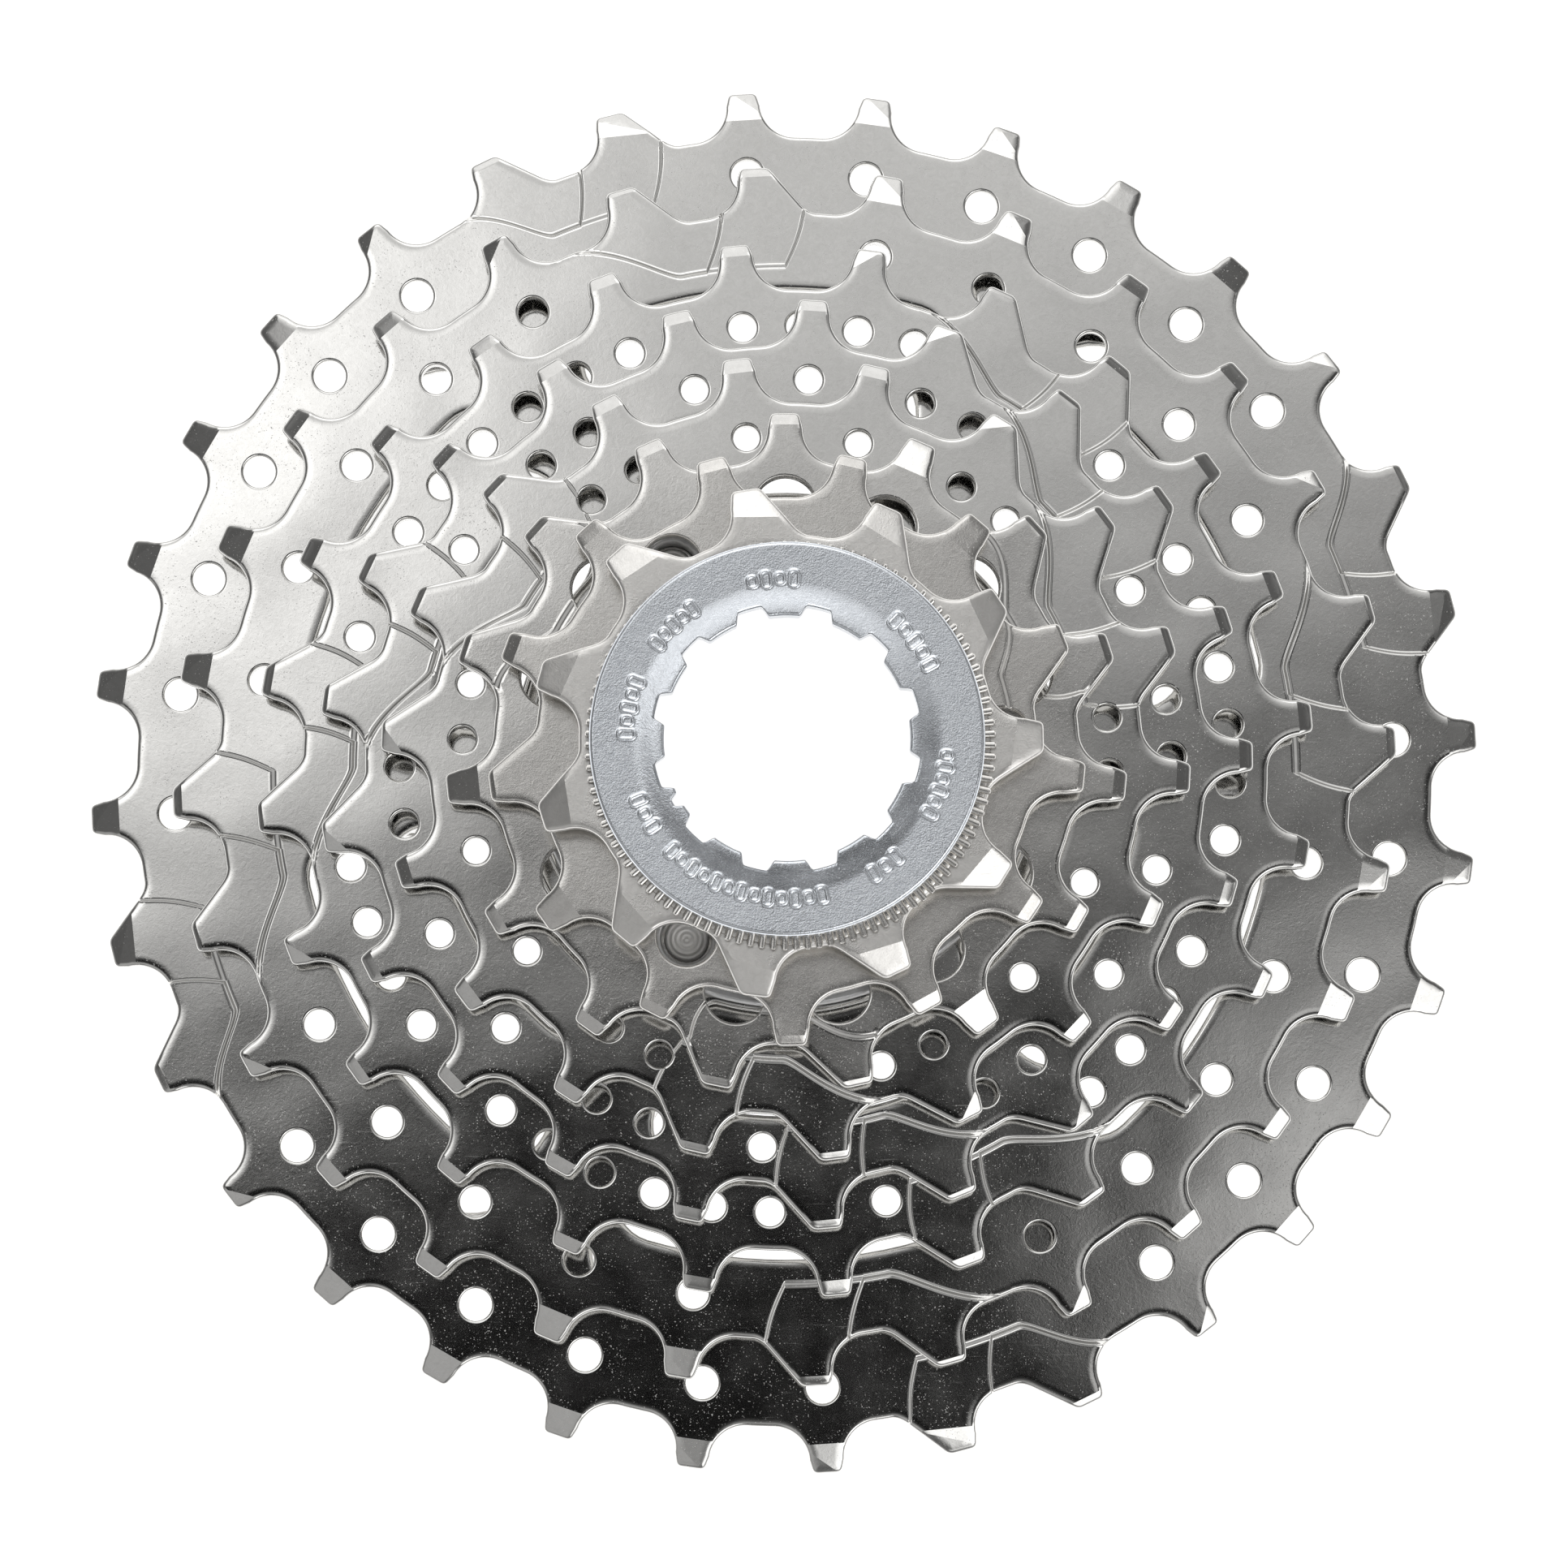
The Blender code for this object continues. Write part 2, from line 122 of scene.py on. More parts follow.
# Largest first.  first is the angle of tooth 0.  Teeth and holes repeat every repeat teeth; holes
# counts in half teeth.  tips lists the bevels: the height of a short one, ("long", height), "twist"
# for a long one with a diagonal fold, "corner" for a bevelled high-angle corner, "ramp" for a ramped
# tooth's and "lean" for a slanted one.  pocket gives in degrees from tooth 0 the first step at the
# rim and inside, the second likewise, and the start and end of the curved shore, then the depth of
# the inner shore below the valley floor.
SPROCKETS = [
    {"teeth": 32, "first": 3.5, "repeat": 8, "ramped": (1, 2), "holes": (0, 6, 8, 10, 12, 14),
     "hole_depth": 3.6, "hole_radius": 1.6, "rim": 9.6, "hub_ring": 2.5, "window_corner": 5.0,
     "tips": ("twist", "ramp", 0.7, "corner", ("long", 2.6), ("long", 2.7), "twist", "twist"),
     "pocket": (7.3, 9.2, 14.8, 16.7, 19.5, 27.5, 5.3)},
    {"teeth": 28, "first": 2.9, "repeat": 7, "ramped": (0, 1), "holes": (4, 6, 8, 10, 12),
     "hole_depth": 3.5, "hole_radius": 1.5, "rim": 7.4, "hub_ring": 2.5, "window_corner": 4.0,
     "tips": (0.9, 0.5, "corner", 1.5, 1.5, "twist", "twist"),
     "pocket": (-5.1, -3.0, 3.2, 5.9, 8.8, 21.6, 5.4)},
    {"teeth": 24, "first": 5.5, "repeat": 8, "ramped": (3, 4), "hole_depth": 3.5, "hole_radius": 1.4,
     "holes": (0, 1, 2, 3, 5, 9, 10, 11, 12, 14, 15), "rim": 6.6, "hub_ring": 2.5, "window_corner": 4.0,
     "tips": (1.3, 1.3, 1.4, 0.9, 0.5, "corner", 1.1, 1.2),
     "pocket": (39.6, 41.1, 49.5, 51.1, 54.5, 69.5, 5.0)},
    {"teeth": 21, "first": 0.8, "repeat": 7, "ramped": (2, 3, 4), "hole_depth": 3.2, "hole_radius": 1.35,
     "holes": (0, 1, 3, 7, 8, 10, 12), "rim": 6.1, "hub_ring": 2.0, "window_corner": 3.0,
     "tips": (1.3, 1.2, 0.8, 0.5, "corner", 1.1, 1.2),
     "pocket": (27.6, 29.4, 39.6, 41.5, 44.7, 60.2, 5.3)},
    {"teeth": 18, "first": -3.0, "repeat": 6, "ramped": (1, 2, 3), "hole_depth": 3.1, "hole_radius": 1.3,
     "holes": (0, 1, 5, 6, 8, 10), "rim": 6.4, "hub_ring": 0.5, "window_corner": 1.1,
     "tips": (1.3, 0.8, 0.7, "corner", 1.2, 1.4),
     "pocket": (11.1, 12.9, 24.8, 26.8, 32.5, 52.0, 5.3)},
    {"teeth": 15, "first": -5.8, "repeat": 5, "ramped": (1, 2), "hole_depth": 4.3, "hole_radius": 2.9,
     "holes": (2, 4, 6, 8), "tips": (1.2, 0.8, 0.6, ("long", 3.0), 1.1),
     "pocket": (16.9, 18.2, None, None, 38.0, 53.0, 3.3)},
    {"teeth": 13, "first": -6.0, "repeat": 13, "ramped": (1, 7),
     "tips": (0.6, 0.4, ("long", 3.1), 1.0, 1.2, 1.3, 1.2, 0.5, ("long", 3.0), 1.0, 0.9, 1.2, 1.2),
     "pocket": (11.0, 12.0, None, None, 24.0, 37.0, 2.6)},
    {"teeth": 11, "first": 1.1, "repeat": 1, "ramped": (0,), "tips": ("lean",)},
]
RIVETED = 6
SPROCKET_PITCH = 4.8
SPROCKET_THICKNESS = 1.8
FACE_GAP = 0.3


# ---------------------------------------------------------------- outlines

def polar(radius, degrees):
    angle = math.radians(degrees)
    return np.array((radius * math.cos(angle), radius * math.sin(angle)))


def arc(centre, radius, start, end, steps):
    """Points on an arc, start and end in degrees."""
    return [np.asarray(centre) + polar(radius, start + (end - start) * i / steps) for i in range(steps + 1)]


def bezier(a, b, c, steps):
    """A quadratic curve from a to c that leaves and arrives towards b."""
    return [(1 - t) ** 2 * a + 2 * t * (1 - t) * b + t * t * c for t in np.linspace(0.0, 1.0, steps + 1)]


def turn(points, degrees):
    angle = math.radians(degrees)
    matrix = np.array(((math.cos(angle), -math.sin(angle)), (math.sin(angle), math.cos(angle))))
    return [matrix @ p for p in points]


def mirror(points):
    return [np.array((p[0], -p[1])) for p in reversed(points)]


def pitch_radius(teeth):
    return CHAIN_PITCH / (2.0 * math.sin(math.pi / teeth))


def root_radius(teeth):
    return pitch_radius(teeth) - ROLLER_RADIUS


def tip_height(teeth):
    return pitch_radius(teeth) + TIP_ABOVE_PITCH_CIRCLE - root_radius(teeth)


def rounded_tip(teeth, towards):
    """From the middle of the tip round its corner, on the +Y side of a tooth along +X."""
    tip = pitch_radius(teeth) + TIP_ABOVE_PITCH_CIRCLE
    corner = np.array((tip, TIP_HALF_WIDTH))
    along = (towards - corner) / np.linalg.norm(towards - corner)
    start = corner - np.array((0.0, TIP_ROUNDING))
    return [np.array((tip, 0.0))] + bezier(start, corner, corner + along * TIP_ROUNDING, 5)


def plain_flank(teeth):
    centre_radius = root_radius(teeth) + FLANK_RADIUS
    lean = math.degrees(math.asin((FLANK_HALF_WIDTH + FLANK_RADIUS) / centre_radius))
    hollow = arc(polar(centre_radius, lean), FLANK_RADIUS, -90.0, -180.0 + lean, 14)
    floor = 180.0 / teeth
    valley = [polar(root_radius(teeth), lean + (floor - lean) * share) for share in (0.2, 0.4, 0.6, 0.8, 1.0)]
    return rounded_tip(teeth, hollow[0]) + hollow + valley


def ramped_flank(teeth):
    root = root_radius(teeth)
    floor = 180.0 / teeth
    per_mm = math.degrees(1.0 / root)
    knee = polar(root + RAMP_KNEE_HEIGHT, floor - RAMP_KNEE_SETBACK * per_mm)
    corner = polar(root + RAMP_CORNER_HEIGHT, floor - RAMP_CORNER_SETBACK * per_mm)
    foot = polar(root, floor - RAMP_FOOT_SETBACK * per_mm)
    tip = rounded_tip(teeth, knee)
    slope = [tip[-1] + (knee - tip[-1]) * share for share in (0.35, 0.7)]
    return tip + slope + bezier(knee, corner, foot, 8) + [polar(root, floor)]


def tooth_outline(spec):
    teeth = spec["teeth"]
    points = []
    for tooth in range(teeth):
        ramped = tooth % spec["repeat"] in spec["ramped"]
        low = mirror(ramped_flank(teeth) if ramped else plain_flank(teeth))
        points += turn(low[1:] + plain_flank(teeth)[1:], spec["first"] + 360.0 * tooth / teeth)
    return np.array(points)


def circle(radius, sides, centre=(0.0, 0.0), start=0.0):
    return np.array([np.asarray(centre) + polar(radius, start + 360.0 * i / sides) for i in range(sides)])


def spline_bore():
    points = []
    division = 360.0 / SPLINE_TABS
    for tab in range(SPLINE_TABS):
        middle = SPLINE_START + division * tab
        half = (KEY_TAB_WIDTH if tab == 0 else TAB_WIDTH) / 2.0
        next_half = (KEY_TAB_WIDTH if tab == SPLINE_TABS - 1 else TAB_WIDTH) / 2.0
        points += arc((0, 0), SPLINE_MINOR_RADIUS, middle - half, middle + half, 5)
        groove_end = middle + division - next_half - SPLINE_SLANT
        points += arc((0, 0), SPLINE_MAJOR_RADIUS, middle + half + SPLINE_SLANT, groove_end, 8)
    return np.array(points)


def window_outline(outer, inner, corner):
    side = ARM_HALF_WIDTH + corner
    outer_centre = np.array((math.sqrt((outer - corner) ** 2 - side ** 2), side))
    inner_centre = np.array((math.sqrt((inner + corner) ** 2 - side ** 2), side))
    outer_lean = math.degrees(math.atan2(outer_centre[1], outer_centre[0]))
    inner_lean = math.degrees(math.atan2(inner_centre[1], inner_centre[0]))
    spread = 180.0 / ARM_COUNT
    half = arc((0, 0), inner, spread, inner_lean, 6)
    half += arc(inner_centre, corner, inner_lean - 180.0, -90.0, 7)[1:]
    half += arc(outer_centre, corner, -90.0, outer_lean, 9)
    half += arc((0, 0), outer, outer_lean, spread, 8)[1:]
    straight = turn(half, -spread)
    return np.array(turn(straight + mirror(straight)[1:-1], spread))


def small_holes(spec):
    """Centres and radii of the round holes behind the teeth."""
    teeth = spec["teeth"]
    circle_radius = root_radius(teeth) - spec.get("hole_depth", 0.0)
    radius = spec.get("hole_radius", 0.0) - DRILL_ALLOWANCE
    return [(polar(circle_radius, spec["first"] + 180.0 * step / teeth), radius)
            for step in range(2 * teeth) if step % (2 * spec["repeat"]) in spec.get("holes", ())]


def rivet_points():
    return [polar(RIVET_CIRCLE_RADIUS, SPLINE_START + 360.0 / RIVET_COUNT * step)
            for step in range(RIVET_COUNT)]


def hole_outlines(index, spec):
    teeth = spec["teeth"]
    holes = [spline_bore()]
    if "rim" in spec:
        outline = window_outline(root_radius(teeth) - spec["rim"], HUB_RADIUS + spec["hub_ring"],
                                 spec["window_corner"])
        holes += [np.array(turn(outline, SPLINE_START + 360.0 * arm / ARM_COUNT)) for arm in range(ARM_COUNT)]
    holes += [circle(radius, 40, centre) for centre, radius in small_holes(spec)]
    if index <= RIVETED:
        size = RIVET_HOLE_RADIUS if index < RIVETED else HEAD_WINDOW_RADIUS
        holes += [circle(size, 32, centre) for centre in rivet_points()]
    return holes


# ---------------------------------------------------------------- front face relief

def tooth_bevels(spec):
    """For each bevel: the tooth's angle, its fold lines as (start, end) in (lateral, height) and
    a function giving the drop at (lateral, height)."""
    teeth = spec["teeth"]
    top = tip_height(teeth)
    bevels = []
    for tooth in range(teeth):
        style = spec["tips"][tooth % len(spec["tips"])]
        angle = spec["first"] + 360.0 * tooth / teeth
        if style in ("corner", "lean"):
            fold = raised(CORNER_FOLD if style == "corner" else LEAN_FOLD, top)
            lines, drop = [fold], half_plane(*fold, LONG_SLOPE)
        elif style == "ramp":
            lines = [RAMP_BASE, RAMP_FOLD]
            drop = added(half_plane(*RAMP_BASE, LONG_SLOPE), half_plane(*RAMP_FOLD, TWIST_SLOPE))
        elif style == "twist":
            fold = raised(TWIST_FOLD, top)
            start = fold[0][1]
            lines = [level_fold(start), fold]
            drop = added(straight_bevel(start, LONG_SLOPE), half_plane(*fold, TWIST_SLOPE))
        else:
            kind, height = style if isinstance(style, tuple) else ("short", style)
            lines = [level_fold(top - height)]
            drop = straight_bevel(top - height, SHORT_SLOPE if kind == "short" else LONG_SLOPE)
        bevels.append((angle, lines, drop))
    return bevels


def raised(fold, top):
    return [(lateral, top + height) for lateral, height in fold]


def level_fold(height):
    return [(-BEVEL_REACH, height), (BEVEL_REACH, height)]


def straight_bevel(start, slope):
    return lambda lateral, height: slope * np.maximum(0.0, height - start)


def half_plane(a, b, slope):
    """Falls away on the tip side of the line from a to b."""
    direction = np.array(b) - np.array(a)
    normal = np.array((-direction[1], direction[0])) / np.linalg.norm(direction)
    if normal[1] < 0.0:
        normal = -normal

    def drop(lateral, height):
        past = (lateral - a[0]) * normal[0] + (height - a[1]) * normal[1]
        return slope * np.maximum(0.0, past)

    return drop


def added(first, second):
    return lambda lateral, height: np.where(first(lateral, height) > 0.0,
                                            first(lateral, height) + second(lateral, height), 0.0)


def smoothstep(value):
    value = np.clip(value, 0.0, 1.0)
    return value * value * (3.0 - 2.0 * value)


def shore_radius(spec, degrees):
    """Inner shore of a pocket: level, then curving out to the rim."""
    start, end, depth = spec["pocket"][4:]
    root = root_radius(spec["teeth"])
    share = np.clip((degrees - start) / (end - start), 0.0, 1.0)
    beyond = SHORE_RISE * np.maximum(0.0, degrees - end)
    return root - depth + depth * smoothstep(share ** SHORE_POWER) + beyond


def step_lines(spec):
    """The pocket's radial steps as (point at the rim, inner point) in (degrees, radius)."""
    root = root_radius(spec["teeth"])
    a, b, c, d, _, _, depth = spec["pocket"]
    lines = [((a, root + STEP_OVERRUN), (b, root - depth))]
    if c is not None:
        lines.append(((c, root + STEP_OVERRUN), (d, root - depth)))
    return lines


def step_bend(line, radius):
    """How far a radial step bows towards lower angles at a radius, in millimetres."""
    (_, outer), (_, inner) = line
    return STEP_BOW * np.sin(np.pi * np.clip((outer - radius) / (outer - inner), 0.0, 1.0))


def step_angle(line, radius):
    (a, outer), (b, inner) = line
    return a + (b - a) * (outer - radius) / (outer - inner)


def step_distance(line, degrees, radius):
    """Millimetres past a radial step, towards higher angles."""
    return np.radians(degrees - step_angle(line, radius)) * radius + step_bend(line, radius)


def pocket_drop(spec, degrees, radius):
    """Two steps down; both end at the curved shore."""
    shore = smoothstep((radius - shore_radius(spec, degrees)) / SHORE_WALL)
    return sum(depth * np.minimum(smoothstep(step_distance(line, degrees, radius) / STEP_WALL), shore)
               for line, depth in zip(step_lines(spec), (FIRST_STEP, SECOND_STEP)))


def pocket_guides(spec):
    """Lines along the walls of one pocket, in local degrees from tooth 0."""
    root = root_radius(spec["teeth"])
    start, end, depth = spec["pocket"][0], spec["pocket"][5], spec["pocket"][6]
    lines = step_lines(spec)
    guides = []
    for share in WALL_SHARES:
        for line in lines:
            radius = np.arange(root - depth - GUIDE_START, root + GUIDE_OVERRUN, WALL_STEP)
            way = share * STEP_WALL - step_bend(line, radius)
            degrees = step_angle(line, radius) + np.degrees(way / radius)
            inside = radius - shore_radius(spec, degrees) > -GUIDE_SLACK
            guides.append([polar(r, a) for r, a in zip(radius[inside], degrees[inside])])
        degrees = np.arange(start - 1.0, end + 0.5, math.degrees(WALL_STEP / root))
        radius = shore_radius(spec, degrees) + share * SHORE_WALL
        inside = step_distance(lines[0], degrees, radius) > -GUIDE_SLACK
        inside &= radius < root + GUIDE_OVERRUN
        guides.append([polar(r, a) for r, a in zip(radius[inside], degrees[inside])])
    return [guide for guide in guides if len(guide) > 1]


def relief(spec, points):
    """How far the front face lies below its plane at each point."""
    teeth = spec["teeth"]
    radius = np.hypot(points[:, 0], points[:, 1])
    degrees = np.degrees(np.arctan2(points[:, 1], points[:, 0]))
    drop = np.zeros(len(points))
    pitch = 360.0 / teeth
    nearest = np.round((degrees - spec["first"]) / pitch).astype(int)
    for tooth, (angle, _, bevel) in enumerate(tooth_bevels(spec)):
        mask = (nearest % teeth == tooth) & (radius > root_radius(teeth) + BEVEL_START)
        along = np.radians(degrees[mask] - angle)
        drop[mask] += bevel(radius[mask] * np.sin(along), radius[mask] * np.cos(along) - root_radius(teeth))
    if "pocket" in spec:
        period = pitch * spec["repeat"]
        start = spec["pocket"][0]
        local = (degrees - spec["first"] - start + POCKET_LEAD) % period + start - POCKET_LEAD
        drop += pocket_drop(spec, local, radius)
    return drop


def die_roll(loops, points):
    """The soft fall of the face towards every stamped edge."""
    edges = []
    for loop in loops:
        ahead = np.roll(loop, -1, axis=0)
        for a, b in zip(loop, ahead):
            steps = max(1, int(np.linalg.norm(b - a) / ROLL_SAMPLE))
            edges += [a + (b - a) * i / steps for i in range(steps)]
    tree = KDTree(len(edges))
    for i, point in enumerate(edges):
        tree.insert((point[0], point[1], 0.0), i)
    tree.balance()
    inside = np.array([tree.find((x, y, 0.0))[2] for x, y in points]) - EDGE_RADIUS
    return ROLL_DEPTH * np.clip(1.0 - inside / ROLL_WIDTH, 0.0, 1.0) ** 2


# ---------------------------------------------------------------- meshes

def offset_loop(loop, distance):
    """Moves a counter-clockwise loop to its left by distance, with mitred corners."""
    ahead = np.roll(loop, -1, axis=0) - loop
    ahead /= np.linalg.norm(ahead, axis=1)[:, None]
    behind = np.roll(ahead, 1, axis=0)
    left = np.stack((-ahead[:, 1], ahead[:, 0]), axis=1) + np.stack((-behind[:, 1], behind[:, 0]), axis=1)
    left /= np.linalg.norm(left, axis=1)[:, None]
    half_cosine = np.abs((left * np.stack((-ahead[:, 1], ahead[:, 0]), axis=1)).sum(axis=1))
    return loop + left * (distance / np.maximum(half_cosine, MITRE_LIMIT))[:, None]


def inside_loop(points, loop):
    """Even-odd test of points against one closed loop."""
    x, y = points[:, 0][:, None], points[:, 1][:, None]
    ax, ay = loop[:, 0][None], loop[:, 1][None]
    bx, by = np.roll(loop[:, 0], -1)[None], np.roll(loop[:, 1], -1)[None]
    crosses = (ay > y) != (by > y)
    with np.errstate(divide="ignore", invalid="ignore"):
        at = ax + (y - ay) * (bx - ax) / (by - ay)
    return (crosses & (x < at)).sum(axis=1) % 2 == 1


def triangulate(outline, holes, folds=(), guides=()):
    """Triangles between the outline and the holes that follow the fold and guide lines.
    Returns points, triangles and the pairs of points on folds."""
    points = []
    edges = []
    for loop in [outline] + holes:
        start = len(points)
        points += [Vector(p) for p in loop]
        edges += [(start + i, start + (i + 1) % len(loop)) for i in range(len(loop))]
    fold_edges = set()
    for number, line in enumerate(list(folds) + list(guides)):
        start = len(points)
        points += [Vector(p) for p in line]
        for i in range(len(line) - 1):
            if number < len(folds):
                fold_edges.add(len(edges))
            edges.append((start + i, start + i + 1))
    found, found_edges, faces, _, edge_sources, _ = delaunay_2d_cdt(points, edges, [], 0, CAP_TOLERANCE)
    found = np.array([tuple(p) for p in found])
    triangles = np.array([f for f in faces if len(f) == 3])
    middles = found[triangles].mean(axis=1)
    keep = inside_loop(middles, outline)
    for hole in holes:
        low, high = hole.min(axis=0), hole.max(axis=0)
        near = np.where(((middles >= low) & (middles <= high)).all(axis=1))[0]
        keep[near[inside_loop(middles[near], hole)]] = False
    triangles = triangles[keep]
    a, b, c = found[triangles[:, 0]], found[triangles[:, 1]], found[triangles[:, 2]]
    area = (b[:, 0] - a[:, 0]) * (c[:, 1] - a[:, 1]) - (b[:, 1] - a[:, 1]) * (c[:, 0] - a[:, 0])
    triangles[area < 0] = triangles[area < 0][:, ::-1]
    sharp = {tuple(found_edges[i]) for i, sources in enumerate(edge_sources)
             if fold_edges.intersection(sources)}
    return found, triangles, sharp


def rim_of(triangles):
    """For each point on a boundary, the next one with material on the left."""
    directed = set()
    for a, b, c in triangles.tolist():
        directed.update(((a, b), (b, c), (c, a)))
    return {a: b for a, b in directed if (b, a) not in directed}


def rim_normals(flat, order, after):
    """Outward normals of the boundary, stretched at corners so that both sides move equally."""
    ahead = flat[after] - flat[order]
    ahead /= np.linalg.norm(ahead, axis=1)[:, None]
    outward = np.stack((ahead[:, 1], -ahead[:, 0]), axis=1)
    position = {a: i for i, a in enumerate(order)}
    before = np.zeros(len(order), int)
    for i, b in enumerate(after):
        before[position[b]] = i
    normal = outward + outward[before]
    normal /= np.linalg.norm(normal, axis=1)[:, None]
    return normal / np.maximum(np.abs((normal * outward).sum(axis=1)), MITRE_LIMIT)[:, None]


def rim_loops(following):
    """The boundary as closed lists of points."""
    left = set(following)
    loops = []
    while left:
        start = min(left)
        loop = [start]
        while following[loop[-1]] != start:
            loop.append(following[loop[-1]])
        left -= set(loop)
        loops.append(loop)
    return loops


def edge_radius(loop):
    return HOLE_EDGE_RADIUS if np.ptp(loop, axis=0).max() < DRILLED_SIZE else EDGE_RADIUS


def plate(name, outline, holes, bottom, top, drop=None, folds=(), guides=()):
    """A stamped plate with all its edges rounded; drop lowers its front face.
    Returns the mesh and the pairs of points that lie on folds."""
    inset = offset_loop(outline, EDGE_RADIUS)
    outset = [offset_loop(hole, -edge_radius(hole)) for hole in holes]
    stamped = [hole for hole in holes if edge_radius(hole) == EDGE_RADIUS]
    guides = list(guides)
    if drop:
        drilled = [hole for hole in holes if edge_radius(hole) == HOLE_EDGE_RADIUS]
        guides += [np.vstack((loop, loop[:1])) for loop in
                   [offset_loop(hole, -HOLE_EDGE_RADIUS - HOLE_COLLAR) for hole in drilled]]
        for share in ROLL_SHARES:
            way = EDGE_RADIUS + share * ROLL_WIDTH
            guides += [np.vstack((loop, loop[:1])) for loop in
                       [offset_loop(outline, way)] + [offset_loop(hole, -way) for hole in stamped]]
    flat, triangles, sharp = triangulate(inset, outset, folds, guides)
    used = np.unique(triangles)
    renumber = -np.ones(len(flat), int)
    renumber[used] = np.arange(len(used))
    flat, triangles = flat[used], renumber[triangles]
    sharp = {tuple(sorted((int(renumber[a]), int(renumber[b])))) for a, b in sharp}
    front = np.full(len(flat), float(top))
    if drop:
        front -= drop(flat) + die_roll([outline] + stamped, flat)
    following = rim_of(triangles)
    loops = rim_loops(following)
    order = np.array([a for loop in loops for a in loop])
    after = np.array([following[a] for a in order])
    size = np.concatenate([np.full(len(loop), edge_radius(flat[loop])) for loop in loops])
    rolled = math.atan(2.0 * ROLL_DEPTH / ROLL_WIDTH) if drop else 0.0
    begin = np.where(size == EDGE_RADIUS, rolled, 0.0)
    normal = rim_normals(flat, order, after) * size[:, None]
    outer = max(range(len(loops)), key=lambda i: np.hypot(*flat[loops[i]].T).max())
    edges = [flat[loop] for loop in loops]
    _, back, _ = triangulate(edges[outer], edges[:outer] + edges[outer + 1:])
    back_order = np.array(loops[outer] + [a for i, loop in enumerate(loops) if i != outer for a in loop])
    number = {a: i for i, a in enumerate(order.tolist())}
    back = np.array([number[a] for a in back_order.tolist()])[back]
    level = np.zeros(len(order))
    layers = [np.column_stack((flat, front)), np.column_stack((flat[order], level + bottom))]
    for edge_height, way, first in ((front[order], -1.0, begin), (level + bottom, 1.0, level)):
        for step in range(1, EDGE_STEPS + 1):
            lean = first + (0.5 * math.pi - first) * step / EDGE_STEPS
            share = (np.sin(lean) - np.sin(first)) / (1.0 - np.sin(first))
            ring = flat[order] + normal * share[:, None]
            layers.append(np.column_stack((ring, edge_height + way * size * (np.cos(first) - np.cos(lean)))))
    rows = [len(flat) + k * len(order) for k in range(2 * EDGE_STEPS + 1)]
    faces = triangles.tolist() + (back[:, ::-1] + rows[0]).tolist()
    down = rows[1:EDGE_STEPS + 1] + rows[:EDGE_STEPS:-1] + rows[:1]
    for a, b in following.items():
        i, j = number[a], number[b]
        chain = [(a, b)] + [(row + i, row + j) for row in down]
        faces += [(low[0], low[1], high[1], high[0]) for high, low in zip(chain, chain[1:])]
    mesh = bpy.data.meshes.new(name)
    mesh.from_pydata((np.vstack(layers) * MM).tolist(), [], faces)
    return mesh, sharp


def sprocket_mesh(index, spec):
    folds, guides = [], []
    teeth = spec["teeth"]
    for angle, lines, _ in tooth_bevels(spec):
        for a, b in lines:
            folds.append(turn([np.array((root_radius(teeth) + p[1], p[0])) for p in (a, b)], angle))
    if "pocket" in spec:
        for copy in range(teeth // spec["repeat"]):
            around = spec["first"] + 360.0 * copy * spec["repeat"] / teeth
            guides += [turn(guide, around) for guide in pocket_guides(spec)]
    low = index * SPROCKET_PITCH
    return plate("sprocket_%dt" % teeth, tooth_outline(spec), hole_outlines(index, spec), low,
                 low + SPROCKET_THICKNESS, lambda points: relief(spec, points), folds, guides)


def finish_mesh(mesh, sharp=(), angle=50.0):
    mesh.shade_smooth()
    mesh.set_sharp_from_angle(angle=math.radians(angle))
    if sharp:
        marks = mesh.attributes.get("sharp_edge") or mesh.attributes.new("sharp_edge", "BOOLEAN", "EDGE")
        for edge in mesh.edges:
            if tuple(sorted(edge.vertices)) in sharp:
                marks.data[edge.index].value = True


def place(name, mesh, material, body, node):
    item = bpy.data.objects.new(name, mesh)
    bpy.context.collection.objects.link(item)
    mesh.materials.append(material)
    weighted = item.modifiers.new("weighted", "WEIGHTED_NORMAL")
    weighted.keep_sharp = True
    weighted.weight = 90
    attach(item, body)
    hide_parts(node)


def turned(name, angles, profile):
    """A ring about Z.  profile(angle) gives its closed section there as (radius, height), going
    up its bore, outwards over its face and down its rim."""
    sections = [profile(angle) for angle in angles]
    count = len(sections[0])
    points = [(r * math.cos(a) * MM, r * math.sin(a) * MM, z * MM)
              for a, section in zip(angles, sections) for r, z in section]
    faces = []
    for i in range(len(angles)):
        here, there = i * count, (i + 1) % len(angles) * count
        for k in range(count):
            m = (k + 1) % count
            faces.append((here + k, here + m, there + m, there + k))
    mesh = bpy.data.meshes.new(name)
    mesh.from_pydata(points, [], faces)
    return mesh


def steady(count):
    return [2.0 * math.pi * i / count for i in range(count)]


def joined(name, *meshes):
    """One mesh of several separate shells."""
    points, faces = [], []
    for mesh in meshes:
        start = len(points)
        points += [tuple(v.co) for v in mesh.vertices]
        faces += [tuple(start + v for v in face.vertices) for face in mesh.polygons]
    whole = bpy.data.meshes.new(name)
    whole.from_pydata(points, [], faces)
    return whole


# ---------------------------------------------------------------- hub pieces

